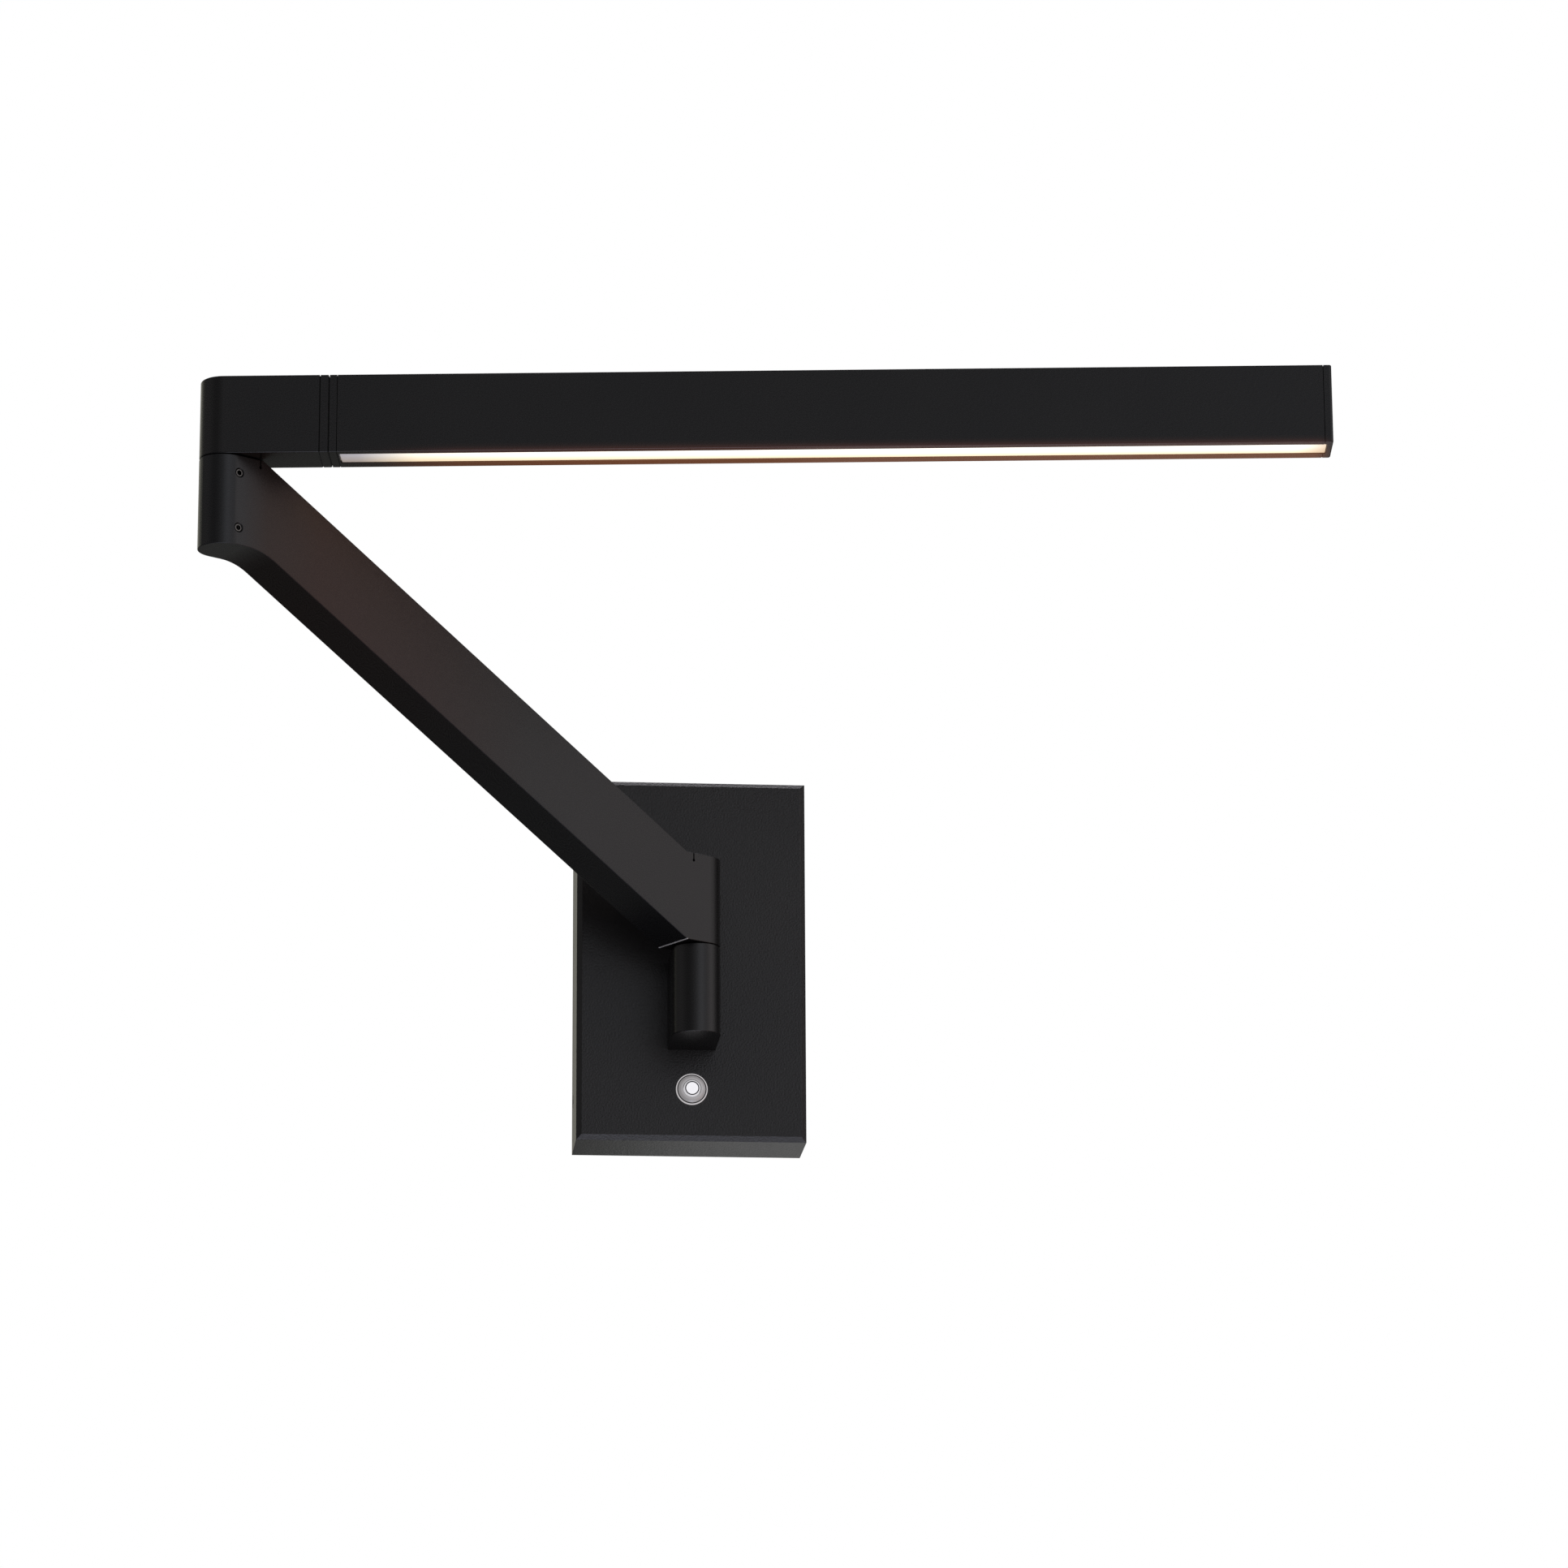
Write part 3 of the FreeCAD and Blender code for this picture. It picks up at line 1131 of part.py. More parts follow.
NODES = {
    "canopy_cover": canopy_cover,
    "wall_bracket": wall_bracket,
    "cable_grommet": cable_grommet,
    "earth_screw": earth_screw,
    "led_driver": led_driver,
    "driver_screws": driver_screws,
    "terminal_block": terminal_block,
    "terminal_screws": terminal_screws,
    "cover_screws": cover_screws,
    "wall_post": wall_post,
    "post_screws": post_screws,
    "post_backing_plate": post_backing_plate,
    "lower_pivot_tube": lower_pivot_tube,
    "lower_thrust_washer": lower_thrust_washer,
    "lower_friction_washer": lower_friction_washer,
    "lower_pivot_nut": lower_pivot_nut,
    "switch_bezel": switch_bezel,
    "switch_nut": switch_nut,
    "switch_body": switch_body,
    "switch_terminals": switch_terminals,
    "push_button": push_button,
    "arm_casting": arm_casting,
    "arm_top_cover": arm_top_cover,
    "arm_cover_screws": arm_cover_screws,
    "lower_knuckle_cap": lower_knuckle_cap,
    "arm_set_screws": arm_set_screws,
    "upper_pivot_shaft": upper_pivot_shaft,
    "upper_thrust_washer": upper_thrust_washer,
    "upper_friction_washer": upper_friction_washer,
    "upper_pivot_nut": upper_pivot_nut,
    "head_hub": head_hub,
    "roll_collar": roll_collar,
    "collar_screws": collar_screws,
    "roll_pivot_tube": roll_pivot_tube,
    "roll_friction_washer": roll_friction_washer,
    "roll_pivot_nut": roll_pivot_nut,
    "inner_end_plate": inner_end_plate,
    "inner_plate_screws": inner_plate_screws,
    "bar_housing": bar_housing,
    "heat_sink": heat_sink,
    "heat_sink_screws": heat_sink_screws,
    "led_board": led_board,
    "led_chips": led_chips,
    "diffuser": diffuser,
    "outer_end_cap": outer_end_cap,
    "end_cap_screws": end_cap_screws,
}

os.makedirs("parts", exist_ok=True)
for name, make in NODES.items():
    make().exportStep("parts/" + name + ".step")
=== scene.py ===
import json
import math

import bpy
from mathutils import Matrix, Vector


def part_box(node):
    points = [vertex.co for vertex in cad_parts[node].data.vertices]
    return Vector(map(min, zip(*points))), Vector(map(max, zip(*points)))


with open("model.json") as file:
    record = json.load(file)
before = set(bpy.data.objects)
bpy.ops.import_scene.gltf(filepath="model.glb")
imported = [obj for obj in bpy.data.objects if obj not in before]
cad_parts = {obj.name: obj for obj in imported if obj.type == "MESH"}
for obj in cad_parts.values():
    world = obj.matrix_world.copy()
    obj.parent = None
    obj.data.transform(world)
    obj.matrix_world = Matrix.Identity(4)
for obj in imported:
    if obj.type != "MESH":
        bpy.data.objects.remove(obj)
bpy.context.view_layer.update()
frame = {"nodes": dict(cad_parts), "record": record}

MM = 0.001
UP = Vector((0, 0, 1))
BLACK = (0.0, 0.0, 0.0)
WHITE = (1.0, 1.0, 1.0)

# ---------------------------------------------------------------- camera and studio

CAMERA_PLACE = Vector((-0.2276, -3.0814, -0.7579))
CAMERA_YAW = math.radians(5.198)
CAMERA_PITCH = math.radians(15.631)
CAMERA_ROLL = math.radians(-0.298)
SENSOR = 36.0
LENS = 137.83

FLOOR_HEIGHT = -1.9
FLOOR_HALF_WIDTH = 6.0

WALL_PANEL_WIDTH = 0.9
WALL_PANEL_HEIGHT = 0.5
WALL_PANEL_DROP = 0.12
WALL_PANEL_DISTANCE = 0.8
WALL_PANEL_RADIANCE = 0.56

# Soft studio lights around the lamp: bearing and height in degrees (bearing 0 is +X, 90 points into
# the wall), how tightly each is focused, its brightness in a mirror, and its tint
STUDIO_LIGHTS = (
    ("key panel", 340, 16, 14, 0.90, (1.0, 0.95, 0.96)),
    ("panel beside the camera", 291, 8, 14, 0.90, (0.97, 0.99, 1.06)),
    ("weak fill at the camera", 256, 14, 14, 0.17, (1.0, 0.99, 1.0)),
    ("left wall", 190, 16, 6, 0.22, (1.0, 0.97, 0.98)),
    ("left backdrop", 120, 10, 14, 0.68, (1.05, 1.03, 0.85)),
    ("light above the wall", 90, 55, 14, 2.3, (1.0, 0.97, 1.03)),
    ("wall below the lamp", 100, -16, 8, 0.10, (1.0, 1.0, 1.0)),
    ("warm bounce, low right", 330, -35, 14, 0.70, (1.2, 0.8, 0.7)),
    ("low fill in front", 275, -36, 14, 0.22, (1.0, 1.0, 1.02)),
    ("table under the lamp", 0, -88, 14, 2.1, (0.92, 0.95, 1.1)),
)


def make_camera():
    data = bpy.data.cameras.new("camera")
    data.sensor_width = SENSOR
    data.lens = LENS
    data.clip_end = 100
    camera = bpy.data.objects.new("camera", data)
    bpy.context.collection.objects.link(camera)
    turn = (
        Matrix.Rotation(-CAMERA_YAW, 4, "Z")
        @ Matrix.Rotation(math.pi / 2 + CAMERA_PITCH, 4, "X")
        @ Matrix.Rotation(CAMERA_ROLL, 4, "Z")
    )
    camera.matrix_world = Matrix.Translation(CAMERA_PLACE) @ turn
    bpy.context.scene.camera = camera


def make_wall_panel():
    """Soft panel behind and below the canopy: its left edge fades across the canopy's underside."""
    low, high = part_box("canopy_cover")
    left_edge = high[0] / 2
    top_edge = low[2] - WALL_PANEL_DROP
    data = bpy.data.lights.new("wall_panel", "AREA")
    data.shape = "RECTANGLE"
    data.size = WALL_PANEL_WIDTH
    data.size_y = WALL_PANEL_HEIGHT
    data.energy = WALL_PANEL_RADIANCE * math.pi * WALL_PANEL_WIDTH * WALL_PANEL_HEIGHT
    light = bpy.data.objects.new("wall_panel", data)
    bpy.context.collection.objects.link(light)
    light.location = (
        left_edge + WALL_PANEL_WIDTH / 2,
        high[1] + WALL_PANEL_DISTANCE,
        top_edge - WALL_PANEL_HEIGHT / 2,
    )
    light.rotation_euler = (-math.pi / 2, 0, 0)
    light.visible_camera = False


def direction(bearing, height):
    """Unit vector that points along a bearing and a height, both in degrees."""
    bearing = math.radians(bearing)
    height = math.radians(height)
    level = math.cos(height)
    return Vector((level * math.cos(bearing), level * math.sin(bearing), math.sin(height)))


def add_glow(tree, ray, aim, focus, radiance):
    """Round patch of light in the sky around one direction; focus makes it smaller."""
    dot = vector_math(tree, "DOT_PRODUCT", ray, aim)
    fall = tree.nodes.new("ShaderNodeMath")
    fall.operation = "MULTIPLY_ADD"
    fall.inputs[1].default_value = focus
    fall.inputs[2].default_value = -focus
    tree.links.new(dot.outputs["Value"], fall.inputs[0])
    shape = tree.nodes.new("ShaderNodeMath")
    shape.operation = "EXPONENT"
    tree.links.new(fall.outputs[0], shape.inputs[0])
    glow = tree.nodes.new("ShaderNodeVectorMath")
    glow.operation = "SCALE"
    glow.inputs[0].default_value = radiance
    tree.links.new(shape.outputs[0], glow.inputs["Scale"])
    return glow


def make_world():
    """White background for the camera; every other ray meets the soft studio lights."""
    world = bpy.data.worlds.new("studio")
    bpy.context.scene.world = world
    world.use_nodes = True
    tree = world.node_tree
    tree.nodes.clear()
    ray = tree.nodes.new("ShaderNodeTexCoord").outputs["Generated"]
    total = BLACK
    for name, bearing, height, focus, brightness, tint in STUDIO_LIGHTS:
        glow = add_glow(tree, ray, direction(bearing, height), focus, shade(tint, brightness))
        glow.label = name
        total = vector_math(tree, "ADD", glow.outputs[0], total).outputs[0]
    studio = tree.nodes.new("ShaderNodeBackground")
    tree.links.new(total, studio.inputs["Color"])
    white = tree.nodes.new("ShaderNodeBackground")
    feed(tree, white.inputs["Color"], WHITE)
    path = tree.nodes.new("ShaderNodeLightPath")
    mix = tree.nodes.new("ShaderNodeMixShader")
    out = tree.nodes.new("ShaderNodeOutputWorld")
    tree.links.new(path.outputs["Is Camera Ray"], mix.inputs[0])
    tree.links.new(studio.outputs[0], mix.inputs[1])
    tree.links.new(white.outputs[0], mix.inputs[2])
    tree.links.new(mix.outputs[0], out.inputs[0])


def make_floor():
    """Pale floor well below the lamp; the lights under the lamp shine through it."""
    half = FLOOR_HALF_WIDTH
    corners = [(-half, -half), (half, -half), (half, half), (-half, half)]
    mesh = bpy.data.meshes.new("floor")
    mesh.from_pydata([(x, y, FLOOR_HEIGHT) for x, y in corners], [], [(0, 1, 2, 3)])
    floor = bpy.data.objects.new("floor", mesh)
    bpy.context.collection.objects.link(floor)
    floor.visible_glossy = False
    floor.visible_diffuse = False
    material, tree, shader = new_material("floor_paint")
    feed_shader(tree, shader, {
        "Base Color": (0.85, 0.85, 0.84),
        "Roughness": 0.8,
        "Emission Color": (0.95, 0.95, 0.95),
        "Emission Strength": 0.45,
    })
    mesh.materials.append(material)


# ---------------------------------------------------------------- shader nodes


def new_material(name):
    material = bpy.data.materials.new(name)
    material.use_nodes = True
    return (material, *shader_of(material))


def shader_of(material):
    tree = material.node_tree
    return tree, tree.nodes["Principled BSDF"]


def feed(tree, socket, value):
    """Link a socket to another one, or set it to a fixed value; fixed colours are opaque."""
    if isinstance(value, bpy.types.NodeSocket):
        tree.links.new(value, socket)
    elif socket.type == "RGBA":
        socket.default_value = (*value, 1)
    else:
        socket.default_value = value


def feed_shader(tree, shader, values):
    for name, value in values.items():
        feed(tree, shader.inputs[name], value)


def base_colour(shader):
    """The socket that feeds a shader's base colour."""
    return shader.inputs["Base Color"].links[0].from_socket


def shade(colour, amount):
    return tuple(amount * c for c in colour)


def grey(value):
    return (value, value, value)


def vector_math(tree, operation, first, second):
    node = tree.nodes.new("ShaderNodeVectorMath")
    node.operation = operation
    feed(tree, node.inputs[0], first)
    feed(tree, node.inputs[1], second)
    return node


def multiply(tree, first, second):
    node = tree.nodes.new("ShaderNodeMath")
    node.operation = "MULTIPLY"
    feed(tree, node.inputs[0], first)
    feed(tree, node.inputs[1], second)
    return node.outputs[0]


def rescale(tree, value, start, end, low=0.0, high=1.0):
    """Start becomes low and end becomes high; nothing goes past either."""
    node = tree.nodes.new("ShaderNodeMapRange")
    node.inputs["From Min"].default_value = start
    node.inputs["From Max"].default_value = end
    node.inputs["To Min"].default_value = low
    node.inputs["To Max"].default_value = high
    tree.links.new(value, node.inputs["Value"])
    return node.outputs[0]


def object_place(tree):
    return tree.nodes.new("ShaderNodeTexCoord").outputs["Object"]


def noise(tree, scale, detail=2.0, roughness=0.5):
    """Noise in the object's own metres; scale is in lumps per metre."""
    node = tree.nodes.new("ShaderNodeTexNoise")
    node.inputs["Scale"].default_value = scale
    node.inputs["Detail"].default_value = detail
    node.inputs["Roughness"].default_value = roughness
    tree.links.new(object_place(tree), node.inputs["Vector"])
    return node.outputs["Fac"]


def spread(tree, value, low, high):
    """The middle of a noise's range, stretched from low to high."""
    return rescale(tree, value, 0.3, 0.7, low, high)


def blend_colours(tree, amount, first, second):
    """First where the amount is 0, second where it is 1."""
    node = tree.nodes.new("ShaderNodeMix")
    node.data_type = "RGBA"
    feed(tree, node.inputs["Factor"], amount)
    feed(tree, node.inputs["A"], first)
    feed(tree, node.inputs["B"], second)
    return node.outputs["Result"]


def multiply_colours(tree, first, second):
    node = tree.nodes.new("ShaderNodeMix")
    node.data_type = "RGBA"
    node.blend_type = "MULTIPLY"
    node.inputs["Factor"].default_value = 1.0
    feed(tree, node.inputs["A"], first)
    feed(tree, node.inputs["B"], second)
    return node.outputs["Result"]


def mottled(tree, scale, detail, darker, lighter):
    """Colour that drifts between two others, in lumps."""
    return blend_colours(tree, spread(tree, noise(tree, scale, detail), 0, 1), darker, lighter)


def colour_ramp(tree, value, stops):
    """Colour that follows a value through stops given as (value, colour)."""
    ramp = tree.nodes.new("ShaderNodeValToRGB")
    elements = ramp.color_ramp.elements
    while len(elements) < len(stops):
        elements.new(0.5)
    for element, (position, colour) in zip(elements, stops):
        element.position = position
        element.color = (*colour, 1)
    tree.links.new(value, ramp.inputs[0])
    return ramp.outputs[0]


def bump(tree, shader, layers):
    """Stack of bump layers, each (height, depth in metres)."""
    normal = None
    for height, depth in layers:
        node = tree.nodes.new("ShaderNodeBump")
        node.inputs["Strength"].default_value = 1.0
        node.inputs["Distance"].default_value = depth
        tree.links.new(height, node.inputs["Height"])
        if normal:
            tree.links.new(normal, node.inputs["Normal"])
        normal = node.outputs["Normal"]
    tree.links.new(normal, shader.inputs["Normal"])


def edge_mask(tree, radius):
    """1 on edges, 0 on flats, from how far a rounded normal turns away from the true one."""
    bevel = tree.nodes.new("ShaderNodeBevel")
    bevel.inputs["Radius"].default_value = radius
    bevel.samples = 4
    geometry = tree.nodes.new("ShaderNodeNewGeometry")
    dot = vector_math(tree, "DOT_PRODUCT", bevel.outputs["Normal"], geometry.outputs["Normal"])
    return rescale(tree, dot.outputs["Value"], 0.98, 0.85)


def open_mask(tree, reach, closed=0.25, clear=0.6):
    """1 on open surfaces, 0 deep in a seam, from how much of the nearby space is taken."""
    node = tree.nodes.new("ShaderNodeAmbientOcclusion")
    node.inputs["Distance"].default_value = reach
    node.samples = 8
    return rescale(tree, node.outputs["AO"], closed, clear)


# ---------------------------------------------------------------- places in the frame


def joint(name):
    return next(j for j in frame["record"]["behaviour"]["joints"] if j["name"] == name)


def head_frame():
    """Where the head's own lines start and run: its pivot, and the directions along and across the bar."""
    pivot = Vector(joint("head_swing")["pos_m"])
    along = Vector(joint("bar_roll")["axis"])
    return pivot, along, UP.cross(along)


def arm_frame():
    """The arm's lower pivot, and the level direction from it to the upper one."""
    pivot = Vector(joint("arm_swing")["pos_m"])
    along = Vector(joint("head_swing")["pos_m"]) - pivot
    along.z = 0
    return pivot, along.normalized()


def corners_of(name):
    """Every corner of a CAD node's mesh, in the frame."""
    node = frame["nodes"][name]
    return [node.matrix_world @ v.co for v in node.data.vertices]


def extent(name, origin, axis):
    """Lowest and highest distance of a CAD node's corners along an axis from an origin."""
    reach = [(corner - origin).dot(axis) for corner in corners_of(name)]
    return min(reach), max(reach)


def measure(tree, origin, axis, start, end):
    """How far a point is along an axis from an origin: 0 at start, 1 at end, in metres."""
    shift = vector_math(tree, "SUBTRACT", object_place(tree), origin)
    dot = vector_math(tree, "DOT_PRODUCT", shift.outputs[0], axis)
    return rescale(tree, dot.outputs["Value"], start, end)


def height_above(tree, low, reach):
    """0 at a height and below, 1 at a reach above it."""
    return measure(tree, Vector((0, 0, low)), UP, 0, reach)


def ring_radius(tree, name):
    """Distance from a round piece's axis, which runs along Y: 0 in the middle, 1 at its rim."""
    low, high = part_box(name)
    middle = [(a + b) / 2 for a, b in zip(low, high)]
    shift = vector_math(tree, "SUBTRACT", object_place(tree), middle)
    flat = vector_math(tree, "MULTIPLY", shift.outputs[0], (1, 0, 1))
    radius = tree.nodes.new("ShaderNodeVectorMath")
    radius.operation = "LENGTH"
    tree.links.new(flat.outputs[0], radius.inputs[0])
    return rescale(tree, radius.outputs["Value"], 0, (high[0] - low[0]) / 2)


# ---------------------------------------------------------------- black coat

COAT_DARK = (0.0165, 0.0163, 0.0172)
COAT_LIGHT = (0.0205, 0.0200, 0.0203)
# edge colour: partly wear, partly a painted highlight where rounded edges would catch light
COAT_WEAR_AND_EDGE_HIGHLIGHT = (0.055, 0.054, 0.053)
COAT_SPECULAR = 0.5
COAT_GRAIN_DEPTH = 0.014 * MM
WEAR_AND_HIGHLIGHT_EDGE = 0.5 * MM
# reach of the painted shade in seams and recesses
SEAM_REACH = 1.0 * MM

# painted highlight along the arm's fold under the lower knuckle: a light grey line, not bare metal
PAINTED_FOLD_HIGHLIGHT = (0.85, 0.85, 0.83)
FOLD_HIGHLIGHT_HALF_WIDTH = 0.5 * MM
FOLD_HIGHLIGHT_HEIGHT = 0.6 * MM
LEVEL_TOLERANCE = 0.05 * MM

GLOW_REACH = 4.0 * MM


def powder_coat(name="black_powder_coat", tone=1.0, roughness=(0.23, 0.32), peel=(700, 0.045 * MM)):
    """Black satin powder coat: orange peel, fine grain, edges a little brighter as wear and as a painted
    edge highlight, painted shade in the seams.
    """
    material, tree, shader = new_material(name)
    peel_scale, peel_depth = peel
    orange_peel = noise(tree, peel_scale)
    grain = noise(tree, 2600)
    base = mottled(tree, 18, 3.0, shade(COAT_DARK, tone), shade(COAT_LIGHT, tone))
    wear = spread(tree, noise(tree, 160, 4.0, 0.65), 0.1, 0.75)
    # painted edge highlight mixed with wear: edges turn lighter, as if they caught the light
    wear_and_edge_highlight = multiply(tree, edge_mask(tree, WEAR_AND_HIGHLIGHT_EDGE), wear)
    coat = blend_colours(tree, wear_and_edge_highlight, base, COAT_WEAR_AND_EDGE_HIGHLIGHT)
    # painted shade: colour and reflection darken deep in seams and recesses, where shade falls
    painted_seam_shade = open_mask(tree, SEAM_REACH)
    feed_shader(tree, shader, {
        "Base Color": multiply_colours(tree, coat, painted_seam_shade),
        "Specular IOR Level": multiply(tree, painted_seam_shade, COAT_SPECULAR),
        "Roughness": spread(tree, grain, *roughness),
    })
    bump(tree, shader, [(orange_peel, peel_depth), (grain, COAT_GRAIN_DEPTH)])
    return material


def arm_coat_with_painted_light():
    """The arm's coat: a painted warm reflection along the slope, and a painted highlight along the fold by
    the lower knuckle.
    """
    material = powder_coat("black_powder_coat_arm")
    tree, shader = shader_of(material)
    pivot, along = arm_frame()
    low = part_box("arm_casting")[0][2]
    lowest = [corner for corner in corners_of("arm_casting") if corner.z < low + LEVEL_TOLERANCE]
    fold = max((corner - pivot).dot(along) for corner in lowest)
    across_fold = measure(tree, pivot, along, fold - FOLD_HIGHLIGHT_HALF_WIDTH, fold + FOLD_HIGHLIGHT_HALF_WIDTH)
    near_fold = colour_ramp(tree, across_fold, [
        (0.0, BLACK),
        (0.2, WHITE),
        (0.8, WHITE),
        (1.0, BLACK),
    ])
    underneath = colour_ramp(tree, height_above(tree, low, FOLD_HIGHLIGHT_HEIGHT), [
        (0.0, WHITE),
        (1.0, BLACK),
    ])
    far_end = extent("arm_casting", pivot, along)[1]
    # painted warm reflection: colour and reflection turn warmer along the slope, standing in for warm light
    # falling on it
    painted_warm_reflection = colour_ramp(tree, measure(tree, pivot, along, 0, far_end), [
        (0.0, WHITE),
        (0.38, WHITE),
        (0.58, (1.03, 0.85, 0.83)),
        (0.80, (1.08, 0.78, 0.72)),
        (0.90, (1.0, 0.81, 0.75)),
        (0.95, (0.98, 1.0, 1.02)),
    ])
    # painted highlight: a thin light line along the fold, where a rounded edge would catch light
    painted_fold_highlight = multiply(tree, near_fold, underneath)
    coat = multiply_colours(tree, base_colour(shader), painted_warm_reflection)
    feed_shader(tree, shader, {
        "Base Color": blend_colours(tree, painted_fold_highlight, coat, PAINTED_FOLD_HIGHLIGHT),
        "Specular Tint": painted_warm_reflection,
    })
    return material


def glowing_coat():
    """The bar's coat, with the warm light of the lens painted on as a glow that spills over the edges of
    its window.
    """
    material = powder_coat("black_powder_coat_bar")
    tree, shader = shader_of(material)
    pivot, along, across = head_frame()
    start = extent("diffuser", pivot, along)[0]
    end = extent("outer_end_cap", pivot, along)[1]
    front, rear = extent("bar_housing", pivot, across)
    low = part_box("bar_housing")[0][2]
    sides = colour_ramp(tree, measure(tree, pivot, across, front, rear), [
        (0.0, (0.045, 0.015, 0.011)),
        (0.25, (0.045, 0.015, 0.011)),
        (0.7, (0.130, 0.038, 0.010)),
        (0.98, (0.120, 0.036, 0.010)),
        (1.0, (0.02, 0.006, 0.002)),
    ])
    height = colour_ramp(tree, height_above(tree, low, GLOW_REACH), [
        (0.0, WHITE),
        (0.15, grey(0.6)),
        (0.55, grey(0.14)),
        (1.0, BLACK),
    ])
    length = colour_ramp(tree, measure(tree, pivot, along, start, end), [
        (0.0, BLACK),
        (0.04, grey(0.05)),
        (0.12, grey(0.7)),
        (0.25, WHITE),
        (0.985, WHITE),
        (1.0, grey(0.1)),
    ])
    # painted light: the coat itself glows warm beside the window; it is no lamp
    feed_shader(tree, shader, {
        "Emission Color": multiply_colours(tree, multiply_colours(tree, sides, height), length),
        "Emission Strength": 1.0,
    })
    return material


# ---------------------------------------------------------------- other finishes


def metal(name, colour, roughness, grain_scale, depth):
    """Bare or plated metal with a faint grain."""
    material, tree, shader = new_material(name)
    grain = noise(tree, grain_scale, 3.0)
    feed_shader(tree, shader, {
        "Base Color": mottled(tree, 120, 3.0, shade(colour, 0.86), colour),
        "Metallic": 1.0,
        "Roughness": spread(tree, grain, roughness * 0.8, roughness * 1.25),
    })
    bump(tree, shader, [(grain, depth)])
    return material


def plastic(name, colour, roughness, grain_scale, depth):
    """Moulded plastic, rubber or lacquer with a faint grain."""
    material, tree, shader = new_material(name)
    grain = noise(tree, grain_scale)
    feed_shader(tree, shader, {
        "Base Color": mottled(tree, 90, 3.0, shade(colour, 0.9), colour),
        "Roughness": spread(tree, grain, roughness * 0.85, roughness * 1.15),
    })
    bump(tree, shader, [(grain, depth)])
    return material


def worn_screw():
    """Grub screw with a worn rim and painted shade in its socket."""
    material = metal("worn_screw", (0.20, 0.195, 0.19), 0.34, 2400, 0.012 * MM)
    tree, shader = shader_of(material)
    # painted shade: the colour darkens down in the socket, where shade falls
    rim = open_mask(tree, 1.6 * MM, 0.6, 0.95)
    feed(tree, shader.inputs["Base Color"], multiply_colours(tree, base_colour(shader), rim))
    return material


def lit_lens():
    """Opal lens lit from behind: painted shadow along its front edge and painted shade at its rear rim,
    white over the LEDs, dim at the hub end.
    """
    material, tree, shader = new_material("lit_opal_lens")
    pivot, along, across = head_frame()
    start, end = extent("diffuser", pivot, along)
    front, rear = extent("diffuser", pivot, across)
    length = colour_ramp(tree, measure(tree, pivot, along, start, end), [
        (0.0, (0.17, 0.165, 0.19)),
        (0.02, (0.20, 0.195, 0.22)),
        (0.045, (0.42, 0.40, 0.38)),
        (0.08, (0.78, 0.72, 0.60)),
        (0.18, (0.95, 0.88, 0.80)),
        (0.40, (1.0, 0.97, 0.90)),
        (0.97, (1.0, 0.97, 0.89)),
        (1.0, (0.53, 0.40, 0.26)),
    ])
    share_across = measure(tree, pivot, across, front, rear)
    width = colour_ramp(tree, share_across, [
        (0.0, WHITE),
        (0.35, (1.0, 0.99, 0.96)),
        (0.75, (0.78, 0.66, 0.46)),
        (1.0, (0.60, 0.45, 0.28)),
    ])
    # painted shadow of the housing along the front edge, painted shade at the rear rim; it darkens colour
    # and glow
    painted_edge_shade = colour_ramp(tree, share_across, [
        (0.0, (0.02, 0.015, 0.01)),
        (0.11, (0.03, 0.02, 0.015)),
        (0.17, WHITE),
        (0.985, WHITE),
        (1.0, (0.3, 0.25, 0.2)),
    ])
    opal = mottled(tree, 60, 2.0, (0.8, 0.78, 0.74), (0.86, 0.84, 0.8))
    feed_shader(tree, shader, {
        "Base Color": multiply_colours(tree, opal, painted_edge_shade),
        "Roughness": spread(tree, noise(tree, 900), 0.3, 0.4),
        "Emission Color": multiply_colours(tree, multiply_colours(tree, length, width), painted_edge_shade),
        "Emission Strength": 1.29,
    })
    return material


def ring_stops(rings, tint=WHITE, blend=0.012):
    """Colour stops for flat rings given as (outer radius, brightness), with narrow blends between."""
    stops = []
    inner = 0.0
    for outer, brightness in rings:
        colour = shade(tint, brightness)
        stops.append((inner + blend if inner else 0.0, colour))
        stops.append((outer - blend if outer < 1.0 else 1.0, colour))
        inner = outer
    return stops


def metal_with_painted_rings(name, node, roughness, colours, light):
    """Satin metal with painted rings of highlight and shade around a round piece's axis, and a painted glow
    in rings; it is no lamp.
    """
    material = metal(name, (0.8, 0.8, 0.82), roughness, 900, 0.003 * MM)
    tree, shader = shader_of(material)
    radius = ring_radius(tree, node)
    # painted light: bright and dark rings in the colour, and a glow, all standing in for highlights and
    # shade
    feed_shader(tree, shader, {
        "Base Color": multiply_colours(tree, base_colour(shader), colour_ramp(tree, radius, colours)),
        "Metallic": 0.35,
        "Emission Color": colour_ramp(tree, radius, light),
        "Emission Strength": 1.0,
    })
    return material


def bezel_metal():
    """Bezel: a satin dome with a painted highlight and glow between an inner lip and a groove in painted
    shade, and a thin rim with a painted highlight.
    """
    # painted highlight on the dome and rim, painted shade in the inner lip and groove
    colours = ring_stops([(0.57, 0.1), (0.865, 0.45), (0.93, 0.02), (1.0, 0.6)])
    glow = [(0.57, 0.02), (0.72, 0.26), (0.865, 0.20), (0.93, 0.0), (1.0, 0.42)]
    return metal_with_painted_rings("satin_bezel", "switch_bezel", 0.34, colours, ring_stops(glow, (1.0, 0.96, 0.97)))


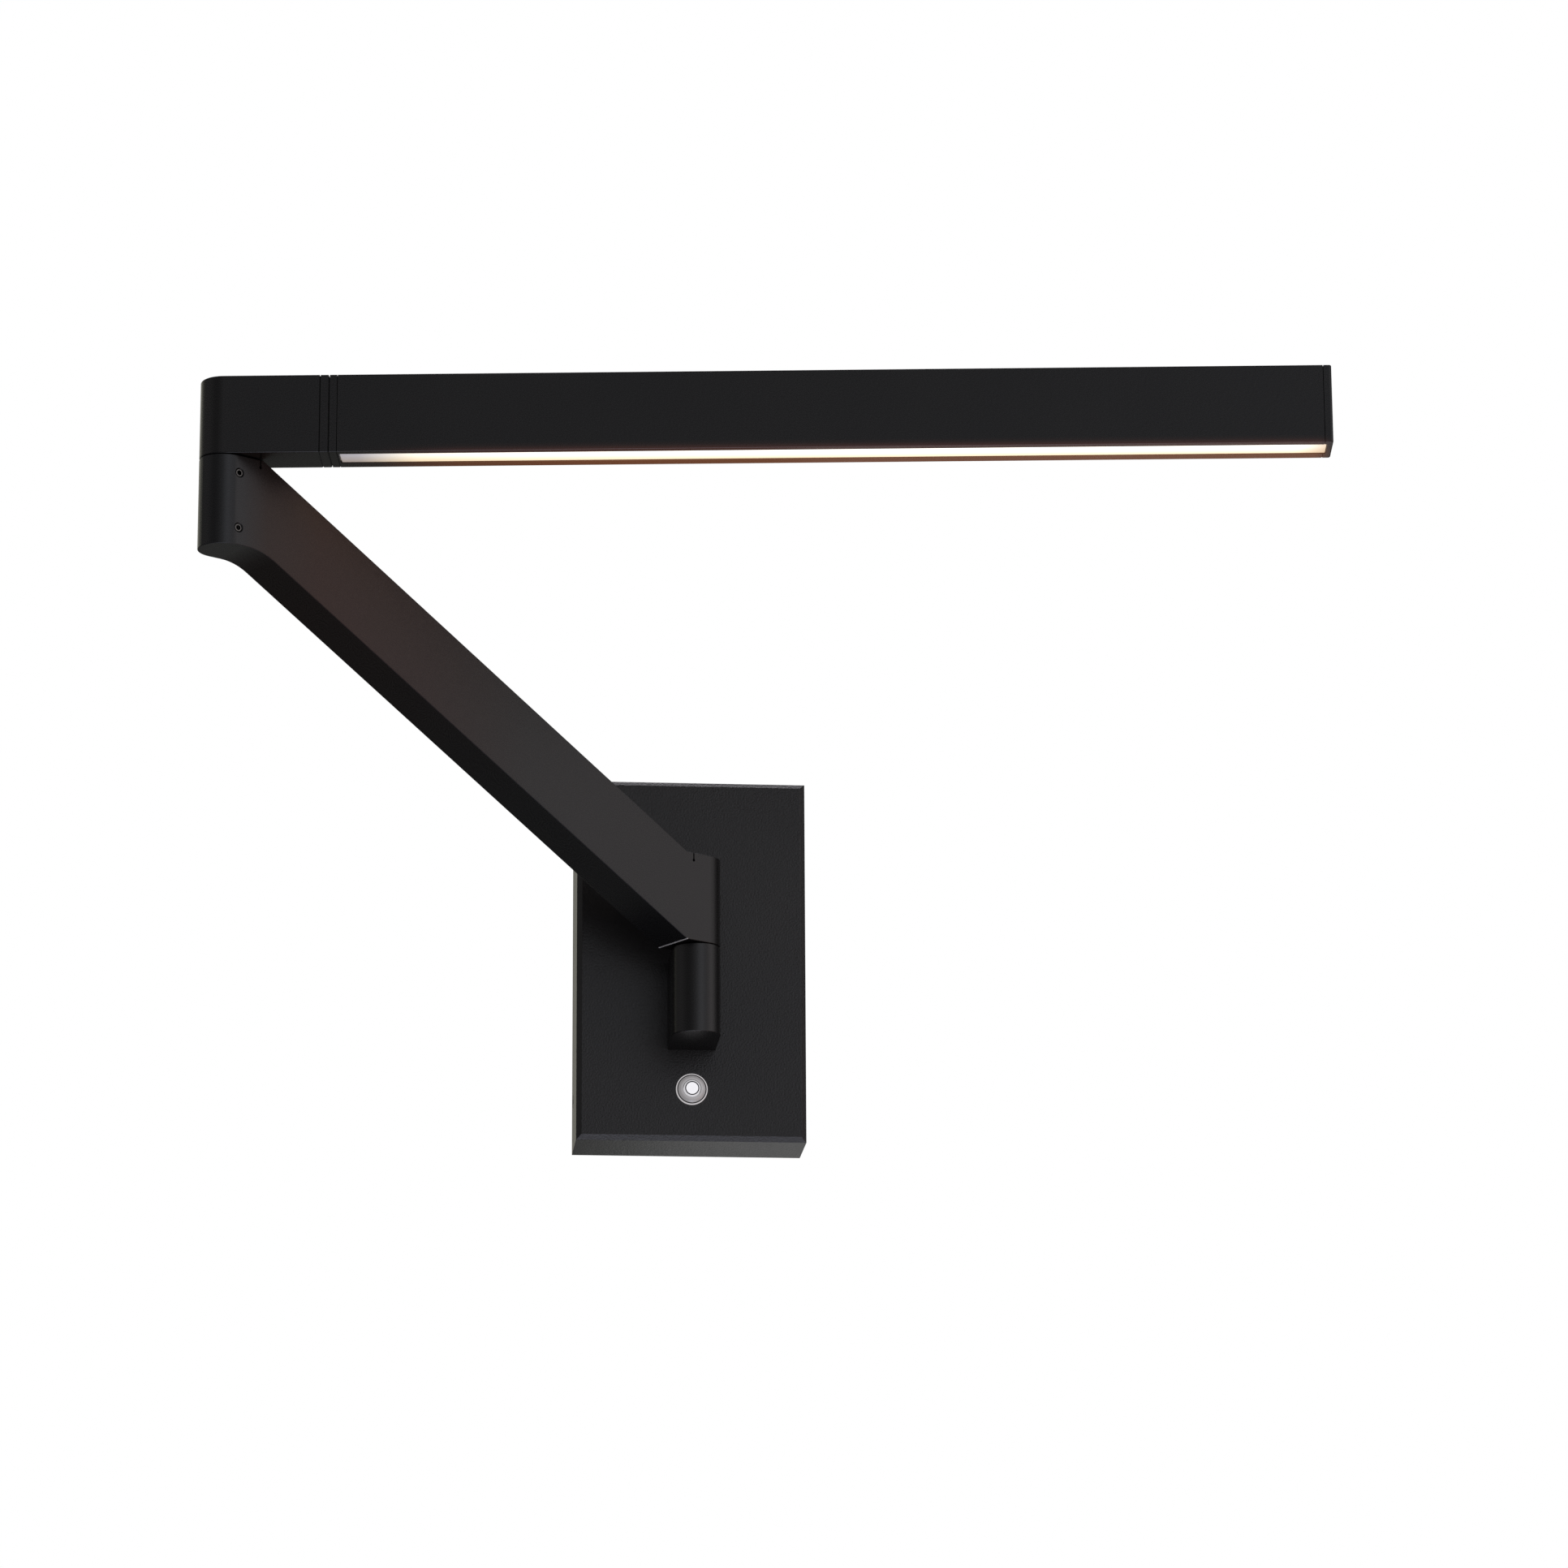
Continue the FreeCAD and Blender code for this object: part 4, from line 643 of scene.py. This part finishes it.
def button_with_painted_highlight():
    """Push button: a white disc in a ring, both bright with painted highlight and painted glow, with
    painted shade in a groove between them.
    """
    # painted highlight and glow on the disc and ring, painted shade in the groove
    colours = ring_stops([(0.73, 0.9), (0.86, 0.02), (1.0, 0.8)])
    glow = [(0.73, 0.66), (0.86, 0.0), (1.0, 0.5)]
    return metal_with_painted_rings("button_with_painted_highlight", "push_button", 0.24, colours, ring_stops(glow, (1.0, 0.99, 1.02)))


# ---------------------------------------------------------------- scene


def paint_nodes():
    """Give every CAD node its own finish, or else the one that its material slot asks for."""
    finishes = {
        "black_coat": powder_coat(),
        "black_screw": metal("black_oxide", (0.05, 0.05, 0.052), 0.38, 2400, 0.006 * MM),
        "zinc_steel": metal("zinc_plate", (0.56, 0.57, 0.6), 0.32, 1500, 0.006 * MM),
        "brass": metal("brass", (0.78, 0.57, 0.27), 0.3, 1500, 0.005 * MM),
        "rubber": plastic("rubber", (0.02, 0.02, 0.02), 0.75, 1200, 0.03 * MM),
        "white_plastic": plastic("white_plastic", (0.78, 0.78, 0.76), 0.42, 1600, 0.01 * MM),
        "grey_plastic": plastic("grey_plastic", (0.28, 0.29, 0.3), 0.5, 1600, 0.01 * MM),
        "nylon": plastic("nylon", (0.72, 0.7, 0.64), 0.5, 1200, 0.01 * MM),
        "chrome": bezel_metal(),
        "black_plastic": plastic("black_plastic", (0.02, 0.02, 0.02), 0.45, 1400, 0.012 * MM),
        "aluminium": metal("extruded_aluminium", (0.72, 0.73, 0.75), 0.34, 900, 0.005 * MM),
        "board_white": plastic("solder_mask", (0.82, 0.82, 0.8), 0.35, 1200, 0.005 * MM),
        "led_yellow": plastic("phosphor", (0.9, 0.75, 0.25), 0.3, 1500, 0.003 * MM),
        "opal": lit_lens(),
    }
    bar_coat = glowing_coat()
    own_finishes = {
        "arm_casting": arm_coat_with_painted_light(),
        "arm_set_screws": worn_screw(),
        "canopy_cover": powder_coat("black_powder_coat_canopy", 1.6, (0.29, 0.39), (1050, 0.22 * MM)),
        "bar_housing": bar_coat,
        "outer_end_cap": bar_coat,
        "push_button": button_with_painted_highlight(),
    }
    for part in frame["record"]["subparts"]:
        finish = own_finishes.get(part["node"], finishes[part["material_slot"]])
        for slot in frame["nodes"][part["node"]].material_slots:
            slot.material = finish


make_camera()
make_world()
make_floor()
make_wall_panel()
paint_nodes()
bpy.context.scene.view_settings.view_transform = "Standard"
